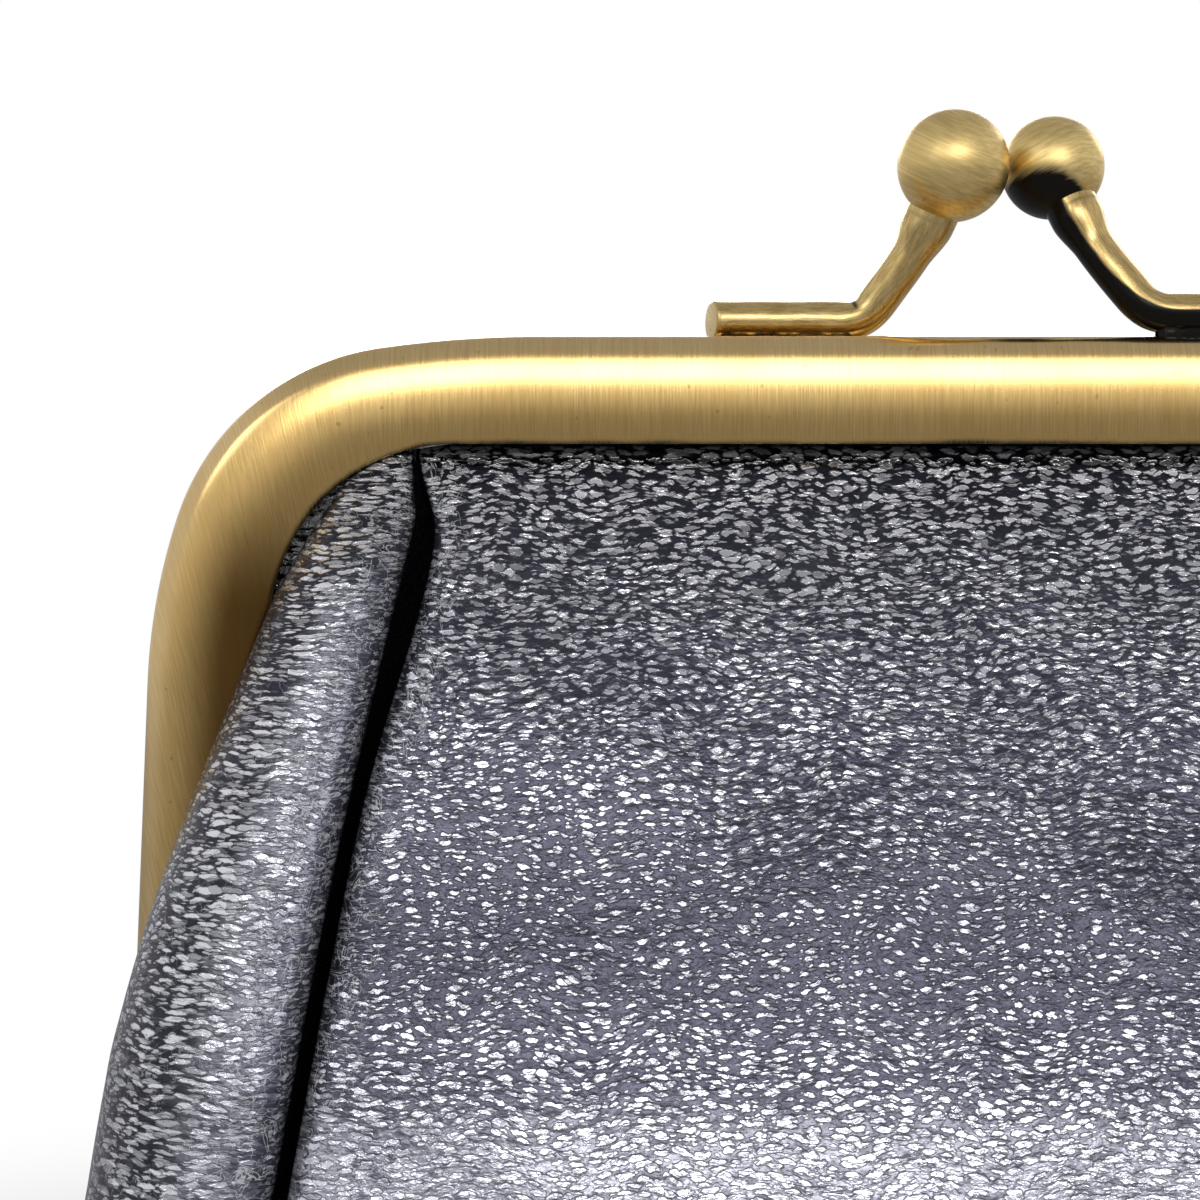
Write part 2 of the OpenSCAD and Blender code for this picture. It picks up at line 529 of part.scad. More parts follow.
// Lower part of the lining, one pouch down to the board
floor_z = board_z + board_t + fit_gap;
pouch_power = 4;
pouch_clear = 5;
pouch_floor_w = base_half_len - 2;
pouch_floor_d = base_half_w - 3;
function pouch_spread(z, full_h) = 1 - max(0, (full_h - z) / (full_h - floor_z)) ^ 2;
function pouch_half_w(z) = z > foot_corner_h ? roll_x(z) - pouch_clear :
    mix(pouch_floor_w, bag_half_w - pouch_clear, pouch_spread(z, foot_corner_h));
function pouch_half_d(z) = mix(pouch_floor_d, belly_y(max(z, hem_z + 5)) - lining_in - 0.5,
    pouch_spread(z, panel_corner_z));
function pouch_ring(z, inset) = [for (i = [0:31]) let (a = 360 * i / 32, c = cos(a), s = sin(a))
    [(pouch_half_w(z) - inset) * sign(c) * abs(c) ^ (2 / pouch_power),
        (pouch_half_d(z) - inset) * sign(s) * abs(s) ^ (2 / pouch_power), z]];
module pouch(inset, low_z, high_z) {
    rows = [for (s = [0, 0.05, 0.13, 0.24, 0.38, 0.6, 1]) mix(low_z, high_z, s)];
    points = [for (z = rows) each pouch_ring(z, inset)];
    m = len(rows);
    polyhedron(points = points, faces = [
        for (k = [0:m - 2], i = [0:31]) let (j = (i + 1) % 32)
            each [[k * 32 + i, (k + 1) * 32 + j, k * 32 + j], [k * 32 + i, (k + 1) * 32 + i, (k + 1) * 32 + j]],
        [for (i = [0:31]) i], [for (i = [31:-1:0]) (m - 1) * 32 + i]]);
}
module lining_bag() color(cloth) difference() {
    pouch(0, floor_z, cut_z - split);
    pouch(lining_t, floor_z + lining_t, cut_z + 1);
}

front_frame();
back_frame();
left_rivet();
right_rivet();
left_clasp_stem();
left_clasp_ball();
right_clasp_stem();
right_clasp_ball();
front_channel_cord();
back_channel_cord();
front_panel_top();
front_panel_bottom();
back_panel_top();
back_panel_bottom();
left_front_wing();
right_front_wing();
left_back_wing();
right_back_wing();
left_gusset();
right_gusset();
bottom_panel();
base_board();
front_wadding_top();
front_wadding_bottom();
back_wadding_top();
back_wadding_bottom();
front_lining_top();
back_lining_top();
lining_bag();
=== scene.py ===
# Kiss lock frame purse: the looks. Lengths inside this script are in millimetres and
# are turned into metres when a mesh is made. "Forward" means towards the front, -Y.
from math import acos, asin, atan, atan2, copysign, cos, degrees, hypot, pi, radians, sin, sqrt, tan

import bpy
import numpy as np
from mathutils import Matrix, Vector


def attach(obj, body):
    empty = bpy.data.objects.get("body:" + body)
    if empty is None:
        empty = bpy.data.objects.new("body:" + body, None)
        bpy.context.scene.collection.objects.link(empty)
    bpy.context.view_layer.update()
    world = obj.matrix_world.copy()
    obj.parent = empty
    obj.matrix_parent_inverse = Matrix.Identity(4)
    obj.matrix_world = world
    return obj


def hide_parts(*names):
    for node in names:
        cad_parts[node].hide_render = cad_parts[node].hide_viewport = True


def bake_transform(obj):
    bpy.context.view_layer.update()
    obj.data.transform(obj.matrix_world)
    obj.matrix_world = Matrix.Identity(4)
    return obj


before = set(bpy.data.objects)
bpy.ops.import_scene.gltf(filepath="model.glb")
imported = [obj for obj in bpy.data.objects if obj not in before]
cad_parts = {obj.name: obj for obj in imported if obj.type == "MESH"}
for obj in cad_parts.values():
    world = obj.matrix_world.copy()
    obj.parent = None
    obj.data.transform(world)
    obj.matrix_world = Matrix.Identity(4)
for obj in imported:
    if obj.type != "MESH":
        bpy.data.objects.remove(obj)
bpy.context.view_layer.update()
MM = 0.001

# The same named values as the part's source
top_z, bar_len = 108.0, 72.0
shoulder_r, shoulder_deg = 84.0, 8.4
corner_r, corner_deg = 19.1, 63.4
hip_r, flare_deg = 46.4, 2.2
band_top, band_leg, mouth_r = 8.4, 9.3, 14.0
half_t, wall, crown_r, face_r, seam_gap = 4.7, 0.8, 2.2, 16.0, 0.3
hinge_z = top_z - 55.0
lug_r, lug_gap, neck_w, lap_gap = 3.8, 0.8, 2.2, 0.1
rivet_r, rivet_head_r, rivet_head_h, rivet_peen_h = 1.2, 2.3, 0.9, 0.5
ball_d, ball_pass, ball_rise, ball_cross = 8.2, 0.04, 13.4, 1.5
rod_d, rod_rise_deg, foot_len, foot_seat = 3.0, 60.0, 11.2, 0.3
belly, bag_half_w, seam_half_w, lip_h = 24.7, 71.0, 45.5, 2.4
panel_corner_r, hem_z, foot_corner_h = 12.0, 7.0, 19.0
base_half_w, base_half_len, side_fold = 14.9, 44.0, 3.5


# ---------------- small functions
def toward(deg):
    return np.array([cos(radians(deg)), sin(radians(deg))])


def ease(t):
    """Smooth step from 0 to 1."""
    t = np.clip(t, 0.0, 1.0)
    return t * t * (3 - 2 * t)


def mix(a, b, t):
    return a + (b - a) * t


def hill(v, centre, width):
    """Bell curve of height 1."""
    return np.exp(-((v - centre) / width) ** 2)


def running(steps, axis=0):
    """Cumulative sum along an axis, starting at zero."""
    total = np.cumsum(steps, axis=axis)
    return np.concatenate([np.zeros_like(total.take([0], axis=axis)), total], axis)


def length_of(points, axis=0):
    """Running length along an axis of a grid of points."""
    return running(np.linalg.norm(np.diff(points, axis=axis), axis=-1), axis)


# ---------------- outlines and surfaces
turn_1 = 90 + shoulder_deg
turn_2 = turn_1 + corner_deg
turn_3 = 180 - flare_deg
shoulder_c = np.array([-bar_len / 2, top_z - shoulder_r])
corner_c = shoulder_c + (shoulder_r - corner_r) * toward(turn_1)
hip_c = corner_c + (corner_r - hip_r) * toward(turn_2)
leg_start = hip_c + hip_r * toward(turn_3)
leg_end_z = hinge_z + lug_r + lug_gap
tan_flare = tan(radians(flare_deg))


def outline_x(z, u=0.0):
    """Distance of the frame's outline from the middle at height z, moved inward by u."""
    for c, r, turn in ((shoulder_c, shoulder_r, turn_1), (corner_c, corner_r, turn_2), (hip_c, hip_r, turn_3)):
        r -= u
        end = c + r * toward(turn)
        if z > end[1]:
            return -c[0] + sqrt(max(0.0, r * r - (z - c[1]) ** 2))
    return -end[0] + (end[1] - z) * tan_flare


mouth_top = top_z - band_top
mouth_c = np.array([outline_x(mouth_top - mouth_r) - band_leg - mouth_r, mouth_top - mouth_r])
mouth_leg = mouth_c + mouth_r * toward(flare_deg)


def mouth_x(z):
    """Half width of the frame's opening."""
    if z > mouth_leg[1]:
        return mouth_c[0] + sqrt(max(0.0, mouth_r ** 2 - (z - mouth_c[1]) ** 2))
    return mouth_leg[0] + (mouth_leg[1] - z) * tan_flare


back_y = seam_gap / 2                   # the plane in which the two halves meet
crown_y = back_y + crown_r
front_y = back_y + half_t
face_c_y = front_y - face_r
face_c_u = crown_r + sqrt((face_r - crown_r) ** 2 - (crown_y - face_c_y) ** 2)
lug_x = outline_x(leg_end_z) - 0.1
skived_y = back_y + 2.9                 # face of the thinned leather where it enters the channel
tuck_y = front_y + 0.25                 # the roll's back, just clear of the band's face
full_z = 19.6                           # height of the belly's fullest place
belly_h = mouth_top - full_z
seam_turn_z, seam_slope = 38.0, 0.165
panel_corner_z = hem_z + panel_corner_r
seam_bow_z = mouth_top - 5.6
gusset_z = 46.0                         # below this the roll is the edge of the gusset
crease_z = 53.0                         # the soft parts fold here as the frame opens
floor_z = 2.75                          # the lining's floor


def belly_y(z):
    """Depth of the padded face."""
    swell = 0.0 if z > mouth_top else 1 - (max(0.0, z - full_z) / belly_h) ** 1.9
    hem_in = 3.0 * ((23 - z) / (23 - hem_z)) ** 2 if z < 23 else 0.0
    return skived_y + (belly - skived_y) * swell - hem_in


def lip(z):
    """Height of the padded lips beside the seams; they fade only just under the frame."""
    return lip_h * ease((mouth_top + 1.5 - z) / 12)


def seam_line(z):
    """How far the seam stands out from its place under the frame."""
    if z > seam_turn_z:
        return max(0.0, seam_bow_z - z) * seam_slope - 1.3 * hill(z, 92, 5.0 if z > 92 else 14.0)
    d = seam_turn_z - z
    return seam_slope * (seam_bow_z - seam_turn_z + d * (1 - d / 2 / (seam_turn_z - panel_corner_z)))


seam_full = seam_half_w + seam_line(panel_corner_z)
corner_x = seam_full - panel_corner_r   # middle of the panel's lower corner


def seam_x(z):
    if z > panel_corner_z:
        return seam_half_w + seam_line(z)
    return corner_x + sqrt(max(0.0, panel_corner_r ** 2 - (panel_corner_z - z) ** 2))


def valley_y(z):
    return skived_y + (belly_y(z) - skived_y) * 0.82


def edge_y(z):
    """Depth of the seam itself, the valley between panel and roll."""
    if z > panel_corner_z:
        return valley_y(z)
    return mix(valley_y(panel_corner_z), belly_y(hem_z) - lip_h, (panel_corner_z - z) / panel_corner_r)


def roll_x(z):
    """Half width of the bag."""
    rise = max(0.0, z - foot_corner_h) / (top_z - 10.3 - foot_corner_h)
    return bag_half_w - (bag_half_w - 48) * rise ** 2.42


def roll_edge(z):
    """The roll's visible edge: the leather bulges a little beyond its padding just under the frame."""
    return roll_x(z) + 1.9 * hill(z, 94, 12) * ease((99.2 - z) / 2.5)


# ---------------- mesh helpers
def make_mesh(name, verts, faces, uvs, attrs):
    me = bpy.data.meshes.new(name)
    me.from_pydata((np.asarray(verts) * MM).tolist(), [], [list(map(int, f)) for f in faces])
    me.validate(clean_customdata=False)
    layer = me.uv_layers.new(name="UVMap")
    loop_v = np.zeros(len(me.loops), np.int32)
    me.loops.foreach_get("vertex_index", loop_v)
    layer.data.foreach_set("uv", np.asarray(uvs, np.float32)[loop_v].ravel())
    for key, values in attrs.items():
        a = me.attributes.new(key, "FLOAT", "POINT")
        a.data.foreach_set("value", np.asarray(values, np.float32))
    me.polygons.foreach_set("use_smooth", [True] * len(me.polygons))
    me.update()
    ob = bpy.data.objects.new(name, me)
    bpy.context.scene.collection.objects.link(ob)
    return ob


def grid_faces(rows, cols, wrap=False, base=0, flip=False):
    """Quads of a grid whose points are numbered row by row from base."""
    out = []
    for i in range(rows - 1):
        for j in range(cols if wrap else cols - 1):
            a, b = base + i * cols + j, base + i * cols + (j + 1) % cols
            q = (a, b, b + cols, a + cols)
            out.append(q[::-1] if flip else q)
    return out


class Parts:
    """Collects grids into one mesh."""
    def __init__(self):
        self.v, self.f, self.uv, self.at = [], [], [], {}

    def add(self, verts, faces, uvs, **attrs):
        base = sum(len(v) for v in self.v)
        verts = np.asarray(verts, float).reshape(-1, 3)
        self.v.append(verts)
        self.f += [tuple(base + k for k in f) for f in faces]
        self.uv.append(np.asarray(uvs, float).reshape(-1, 2))
        for key in set(self.at) | set(attrs):
            done = self.at.setdefault(key, [np.zeros(base)])
            done.append(np.broadcast_to(np.asarray(attrs.get(key, 0.0), float).ravel(), (len(verts),)))

    def build(self, name, turned):
        """Makes the object; turned is the back half's copy, turned half round."""
        v = np.concatenate(self.v) * ([-1, -1, 1] if turned else [1, 1, 1])
        return make_mesh(name, v, self.f, np.concatenate(self.uv),
                         {k: np.concatenate(a) for k, a in self.at.items()})


# ---------------- brass frame halves
def frame_path():
    """Points (x, z) and outward directions along one half's outline, from left to right."""
    leg = (leg_start[1] - leg_end_z) / cos(radians(flare_deg)) + 0.6
    left = [(leg_start + t * toward(turn_3 + 90), toward(turn_3)) for t in np.linspace(leg, 0, 40)[:-1]]
    for c, r, a, b, n in ((hip_c, hip_r, turn_3, turn_2, 26), (corner_c, corner_r, turn_2, turn_1, 44),
                          (shoulder_c, shoulder_r, turn_1, 90, 16)):
        left += [(c + r * toward(t), toward(t)) for t in np.linspace(a, b, n)[:-1]]
    left += [(np.array([t, top_z]), np.array([0.0, 1.0])) for t in np.linspace(-bar_len / 2, 0, 46)]
    return left + [(p * [-1, 1], n * [-1, 1]) for p, n in left[-2::-1]]


def band_width(p, n):
    """Distance from the outline point p, against its direction n, to the frame's opening."""
    lo, hi = 6.0, 14.0
    for _ in range(40):
        u = (lo + hi) / 2
        q = p - n * u
        inside = q[1] < mouth_top and abs(q[0]) < mouth_x(q[1])
        lo, hi = (lo, u) if inside else (u, hi)
    return (lo + hi) / 2


face_n, crown_n = 26, 21                # points of the section on the face and on the crown
outer_n = 4 + face_n + crown_n          # the first four round the front edge


def band_section(w):
    """Closed ring (u, y) of the channel, w wide: outside from the front edge round to the back edge, then inside."""
    e = 0.17                            # rounding of the edges

    def face(u, r=face_r):
        return face_c_y + sqrt(r * r - (u - face_c_u) ** 2)

    def crown(r, angles):
        return [(crown_r - r * cos(radians(a)), crown_y + r * sin(radians(a))) for a in angles]

    k = face_r / (face_r - crown_r)
    tip_u, tip_y = face_c_u + k * (crown_r - face_c_u), face_c_y + k * (crown_y - face_c_y)
    tip = degrees(atan2(tip_y - crown_y, crown_r - tip_u))
    ring = [(w, face(w) - wall / 2), (w, face(w) - e), (w - e * 0.3, face(w) - e * 0.3), (w - e, face(w - e))]
    ring += [(u, face(u)) for u in np.linspace(w - 2 * e, tip_u, face_n)]
    ring += crown(crown_r, np.linspace(tip, -90, crown_n + 1)[1:])
    ring += [(w - 3, back_y), (w - e, back_y), (w - e * 0.3, back_y + e * 0.3), (w, back_y + e),
             (w, back_y + wall - e), (w - e, back_y + wall), (w - 3, back_y + wall)]
    ring += crown(crown_r - wall, np.linspace(-90, tip, 9))
    ring += [(u, face(u, face_r - wall)) for u in np.linspace(tip_u + 0.5, w - e, 7)]
    return np.array(ring)


def add_channel(parts):
    path = frame_path()
    rings, uvs, dark, edge, brown = [], [], [], [], []
    for p, n in path:
        w = band_width(p, n) if p[1] > leg_end_z + 3 else band_width(*path[3 if p[0] < 0 else -4])
        u, y = band_section(w).T
        x, z = p[0] - n[0] * u, p[1] - n[1] * u
        low = z < leg_end_z
        x[low] += np.sign(p[0]) * (z[low] - leg_end_z) * tan_flare
        z = np.maximum(z, leg_end_z)
        rings.append(np.stack([x, -y, z], 1))
        # the brush strokes are upright on the bar and lean over down the legs
        side = ease((abs(p[0]) - 46) / 14) * np.sign(p[0])
        uvs.append(np.stack([x - 0.22 * side * (z - mouth_top) + 0.25 * side * y, z], 1))
        order = np.arange(len(u))
        dark.append(np.maximum(order >= outer_n + 4, 0.75 * hill(u, w, 0.55) * (order < outer_n)))
        edge.append(hill(u, 0.9, 0.8))
        # painted shade: the bar's face a little darker towards its lower edge, the faces of the corners and legs much
        # darker inward, in place of the dark leather they reflect
        leg = ease((104 - p[1]) / 16)
        brown.append(mix(0.16 * ease((u - 4) / 4), 0.97 * ease((u - 1.3) / 5.0), leg))
    m, half = len(rings[0]), outer_n + 3
    faces = grid_faces(len(rings), m, wrap=True)
    # closed ends at the legs: the strip's thickness, as quads between outside and inside
    inside = list(range(m - 1, half, -1))
    for start, flip in ((0, False), ((len(rings) - 1) * m, True)):
        for k in range(half):
            d, c = (inside[min(len(inside) - 1, int(i * len(inside) / (half + 1)))] for i in (k, k + 1))
            q = tuple(start + i for i in ((k, d, c, k + 1) if c != d else (k, d, k + 1)))
            faces.append(q[::-1] if flip else q)
    parts.add(np.concatenate(rings), faces, np.concatenate(uvs), dark=np.concatenate(dark),
              edge=np.concatenate(edge), brown=np.concatenate(brown))


def add_lug(parts, sign, joggle):
    """Round lug and its neck at a leg's end; the joggled one steps inward past the other half's lug."""
    neck = -crown_y - neck_w / 2, -crown_y + neck_w / 2
    rows, cols = [], 9
    top = leg_end_z - hinge_z + 1.9
    for z in np.concatenate([-lug_r * np.cos(np.linspace(0, pi, 30)), np.linspace(lug_r + 0.15, top, 12)]):
        lo, hi = neck
        if z < lug_r:
            hi = sqrt(max(0.0, lug_r ** 2 - z * z))
            lo = -hi
            if z > 0.5:
                lo, hi = min(lo, -crown_y - neck_w / 2 * ease((z - 0.5) / 2)), max(hi, neck[1])
        rows.append((z, lo, hi))
    n = len(rows)
    pts = []
    for k in (0.0, 1.0):
        for z, lo, hi in rows:
            shift = joggle * (1 - ease((z - lug_r - 0.35) / 0.9))
            pts += [(sign * (lug_x - shift - k * wall), mix(lo, hi, c / (cols - 1)), hinge_z + z) for c in range(cols)]
    faces = grid_faces(n, cols, flip=sign > 0) + grid_faces(n, cols, base=n * cols, flip=sign < 0)
    for ids, flip in ((range(cols - 1, n * cols, cols), sign < 0), (range(0, n * cols, cols), sign > 0),
                      (range((n - 1) * cols, n * cols), sign > 0), (range(cols), sign < 0)):
        for a, b in zip(ids[:-1], ids[1:]):
            q = (a, b, b + n * cols, a + n * cols)
            faces.append(q[::-1] if flip else q)
    pts = np.array(pts)
    reach = np.hypot(pts[:, 1], pts[:, 2] - hinge_z)
    parts.add(pts, faces, pts[:, 1:], dark=0.85 * hill(reach, rivet_head_r, 0.8) + 0.4 * (reach < rivet_head_r))


def frame_half(name, turned):
    parts = Parts()
    add_channel(parts)
    add_lug(parts, -1, 0.0)
    add_lug(parts, 1, wall + lap_gap)
    ob = parts.build(name, turned)
    bevel = ob.modifiers.new("edges", "BEVEL")
    bevel.width, bevel.segments, bevel.limit_method, bevel.angle_limit = 0.12 * MM, 2, "ANGLE", radians(50)
    bevel.harden_normals = False
    return ob


def rivet(name, turned):
    """A turned rivet: the domed head outside, the shank through both lugs, the peened end inside."""
    shank = 2 * wall + 2 * lap_gap
    dome = (rivet_head_r ** 2 + rivet_head_h ** 2) / (2 * rivet_head_h)
    profile = [(0.02, -rivet_head_h)]
    profile += [(rivet_head_r * t, dome - rivet_head_h - sqrt(dome ** 2 - (rivet_head_r * t) ** 2))
                for t in (0.1, 0.25, 0.4, 0.55, 0.7, 0.82, 0.91, 0.97)]
    profile += [(rivet_head_r - 0.02, -0.07), (rivet_head_r - 0.06, 0.0), (rivet_r, 0.0), (rivet_r, shank),
                (rivet_r + 0.62, shank), (rivet_r + 0.7, shank + 0.1), (rivet_r + 0.68, shank + 0.34),
                (rivet_r + 0.5, shank + rivet_peen_h), (0.5, shank + rivet_peen_h - 0.08),
                (0.02, shank + rivet_peen_h - 0.1)]
    dark = [0.1] * 4 + [0.15, 0.2, 0.4, 0.7, 0.9] + [1.0] * 5 + [0.9, 0.6, 0.4, 0.4, 0.4]
    n, sides = len(profile), 64
    angles = np.linspace(0, 2 * pi, sides, endpoint=False)
    parts = Parts()
    parts.add([(-lug_x + h, r * sin(t), hinge_z + r * cos(t)) for r, h in profile for t in angles],
              grid_faces(n, sides, wrap=True) + [tuple(range(sides))[::-1], tuple(range((n - 1) * sides, n * sides))],
              [(t * r, h) for r, h in profile for t in angles], dark=np.repeat(dark, sides))
    return parts.build(name, turned)


# ---------------- clasp
rod_r = rod_d / 2 + 0.05
foot_x0 = -foot_len - (ball_d + ball_pass) / 2 \
    - (ball_rise + foot_seat - rod_d / 2) / tan(radians(rod_rise_deg))
foot_z = top_z + 1.72          # the rod's middle, a solder bead's height above the crown
foot_n = 23                    # stations on a rod's straight foot
rise_deg, neck_deg = 55.0, 69.0
# each ball: distance from the middle, height and radius; the nearer one is a little larger
balls = {"left": (3.93, 121.25, 4.3), "right": (4.33, 121.65, 4.0)}


def rod_line(side):
    """Middle line of a rod in its leaning plane, the plane's lean, and the direction at the ball."""
    cx, cz, r = balls[side]
    slope = atan((crown_y + ball_cross) / (cz - foot_z))
    rise = (cz - foot_z) / cos(slope)
    line, deg, up, x, gone = [(0.0, 0.0)], 0.0, 0.0, 0.0, 0.0
    step, bend_r = 0.2, 3.7
    while up < rise - 0.6 * r:
        if deg < rise_deg:
            deg = min(rise_deg, deg + degrees(step / bend_r))
        else:
            gone += step
            deg = mix(rise_deg, neck_deg, ease((gone - 1.5) / 7.5))
        x += step * cos(radians(deg))
        up += step * sin(radians(deg))
        line.append((x, up))
    line = np.array(line)
    line[:, 0] -= cx + (rise - up) / tan(radians(deg)) + x
    foot = np.linspace(foot_x0, line[0, 0], foot_n + 1)[:-1]
    return np.concatenate([np.stack([foot, 0 * foot], 1), line]), slope, radians(deg)


def rod_place(x, side, up, slope):
    """From the leaning plane of a rod to the row frame."""
    return np.array([x, crown_y + side * cos(slope) - up * sin(slope),
                     foot_z + side * sin(slope) + up * cos(slope)])


def clasp_rod(name, side, turned):
    """A rod with its cut foot end and its solder bead; the right one is blackened underneath; painted shade darkens
    the underside of the foot and the bead.
    """
    blackened = side == "right"
    line, slope, _ = rod_line(side)
    along = length_of(line)
    way = np.gradient(line, axis=0)
    way /= np.linalg.norm(way, axis=1)[:, None]
    bend_s = along[foot_n]
    ball_s = along[-1] - 0.4 * balls[side][2]
    sides = 56
    pts, uv, dark = [], [], []
    for p, n, s in zip(line, np.stack([-way[:, 1], way[:, 0]], 1), along):
        flare = ease((s - (ball_s - 3.4)) / 3.0)
        pinch = hill(s, bend_s + 1.7, 0.95)
        for a in np.linspace(0, 2 * pi, sides, endpoint=False):
            up, out = sin(a), cos(a)
            r = rod_r + 0.5 * flare + 0.010 * sin(1.3 * s + 2 * a) * (1 - flare)
            rr = r - 0.24 * pinch * max(0.0, up) ** 4 + 0.08 * pinch * max(0.0, -up)
            q = rod_place(p[0] + n[0] * rr * up, rr * out, p[1] + n[1] * rr * up, slope)
            if s < 2.5:
                q[0] += 0.28 * (crown_y - q[1]) * (1 - s / 2.5)     # the foot's end is cut at a slant
            pts.append(q)
            uv.append((a * rod_r, s))
            # painted shade along the foot's underside, where it sits on the bead
            contact_shade = ease((-up - 0.5) / 0.4) * ease((bend_s + 1.2 - s) / 1.5)
            at_ball = 0.55 * hill(s, ball_s, 0.35) + 0.25 * hill(s, ball_s - 3.2, 0.3)
            worn = 0.9 * hill(s, bend_s + 1.7, 0.42) * ease((up - 0.35) / 0.4)
            reach = mix(0.10, 0.40, ease((s - bend_s - 1) / 5))
            black = 1.4 * blackened * ease((-up * 0.92 + 0.12 * out - reach) / 0.40)
            dark.append(max(contact_shade, at_ball, worn, black))
    n = len(line)
    faces = grid_faces(n, sides, wrap=True, flip=True)
    end = np.array(pts[:sides])
    for k, (t, push, shade) in enumerate(((0.93, 0.06, 0.5), (0.8, 0.085, 0.2), (0.02, 0.09, 0.1))):
        pts += list(mix(end.mean(0), end, t) - [push, 0, 0])
        uv += [(u[0] * t, -0.3 * (k + 1)) for u in uv[:sides]]
        dark += [shade] * sides
        new, old = (n + k) * sides, (n + k - 1) * sides if k else 0
        faces += [(old + (j + 1) % sides, new + (j + 1) % sides, new + j, old + j) for j in range(sides)]
    parts = Parts()
    parts.add(np.array(pts), faces, uv, dark=dark, edge=0.2)
    # solder bead between the foot and the frame
    half = [(1.42, -2.40), (1.18, -1.86), (1.02, -1.45), (0.98, -1.05), (0.6, -0.4)]
    ring = half + [(-a, b) for a, b in half[::-1]]
    stations = np.linspace(foot_x0 + 0.15, line[foot_n, 0] + 1.3, 60)
    bead = []
    for i, x in enumerate(stations):
        taper = mix(0.35, 1.0, min(1.0, min(i, len(stations) - 1 - i) / 3))
        for a, b in ring:
            swell = 1 + 0.07 * sin(1.9 * x + b) + 0.05 * sin(5.3 * x)
            bead.append((x, crown_y + a * swell * taper, foot_z + b))
    # the bead's darkness: painted shade under the rod over the solder, and on the right also black patina
    parts.add(bead, grid_faces(len(stations), len(ring), wrap=True), [q[:2] for q in bead],
              dark=1.7 if blackened else 0.85)
    return parts.build(name, turned)


def clasp_ball(name, side, turned):
    """A ball pressed on its rod, brushed round a slanting axis; the right one is blackened underneath; painted shade
    darkens it where it faces the other ball.
    """
    cx, cz, radius = balls[side]
    centre = np.array([-cx, -ball_cross, cz])
    _, slope, deg = rod_line(side)
    axis = rod_place(cos(deg), 0, sin(deg), slope) - rod_place(0, 0, 0, slope)
    axis /= np.linalg.norm(axis)
    across = np.cross(axis, [0, 1.0, 0])
    across /= np.linalg.norm(across)
    other = np.cross(axis, across)
    touch = np.array([1.0, 0.36, 0.0]) / hypot(1.0, 0.36)      # towards the other ball
    rows, sides = 80, 112
    hole = asin((rod_r + 0.2) / radius)
    pts, uv, dark = [], [], []
    for th in np.linspace(0.004, pi - hole, rows):
        for ph in np.linspace(0, 2 * pi, sides, endpoint=False):
            d = axis * cos(th) + (across * cos(ph) + other * sin(ph)) * sin(th)
            pts.append(centre + d * radius)
            uv.append((radius * th, 1.6 * radius * cos(ph - 0.6)))
            rim = hill(th, pi - hole, 0.10)
            # painted shade on the side that faces the other ball
            near = hill(acos(np.clip(d @ touch, -1, 1)), 0.0, 0.3)
            black = 1.4 * (side == "right") * ease((-d[2] + 0.42 * d[0] - 0.6 * d[0] * d[0] + 0.16) / 0.80)
            dark.append(max(rim, 0.8 * near, black))
    parts = Parts()
    parts.add(pts, grid_faces(rows, sides, wrap=True, flip=True) + [tuple(range(sides))], uv, dark=dark, edge=0.25)
    return parts.build(name, turned)


# ---------------- leather
rng = np.random.default_rng(7)
waves = [(rng.uniform(0.05, 0.30), rng.uniform(0.18, 0.62), rng.uniform(0, 6.28), rng.uniform(0.5, 1.0))
         for _ in range(26)]
groove_depth = 3.0     # how far the valley's walls run in behind the lips
lip_round = 2.0        # radius of the rounded lips
# painted shade of lip_profile's points, darker from the face down into the valley
lip_shade = [0.0] * 9 + [0.03, 0.10, 0.22, 0.4, 0.6, 0.8, 0.95] + [1.0] * 4


def ripple(a, b):
    """Soft unevenness of the leather, about -1 to 1; a runs across and b down the bag."""
    total = 0.0
    for i, (fa, fb, ph, amp) in enumerate(waves):
        sign = 1 if i % 2 else -1
        total = total + amp * np.sin(fa * a + sign * fb * b * 0.6 + ph + 0.8 * np.sin(0.11 * b + ph))
    return total / sqrt(len(waves)) / 0.8


def groove(z):
    """Half width of the seam's valley, widest a little below the frame."""
    return (0.50 + 0.45 * hill(z, 88.5, 9.0)) * mix(0.35, 1.0, ease((mouth_top + 0.5 - z) / 9))


def panel_base(x, z):
    """Crowned face of the padded panel without its edges."""
    out = abs(x) / (seam_half_w + seam_line(max(z, panel_corner_z)))
    v, l = edge_y(z), lip(z)
    y = v + (belly_y(z) - l - v) * (1 - min(1.0, out) ** 3.2) + l
    return max(y + 1.6 * hill(z, 40, 14) * max(0.0, 1 - out ** 2), skived_y)


def lip_profile(half):
    """(distance out from the seam, drop below the face) from the face over the lip down into the valley."""
    r = lip_round
    pts = [(d, 0.10 * ((6 - d) / 6) ** 2) for d in (5.4, 4.8, 4.2, 3.7, 3.25)]
    pts += [(half + r - r * sin(t), 0.05 + r - r * cos(t)) for t in np.linspace(0.12, pi / 2, 12)]
    return pts + [(half * out, r + groove_depth * down) for out, down in ((0.92, 0.35), (0.6, 0.75), (0.0, 1.0))]


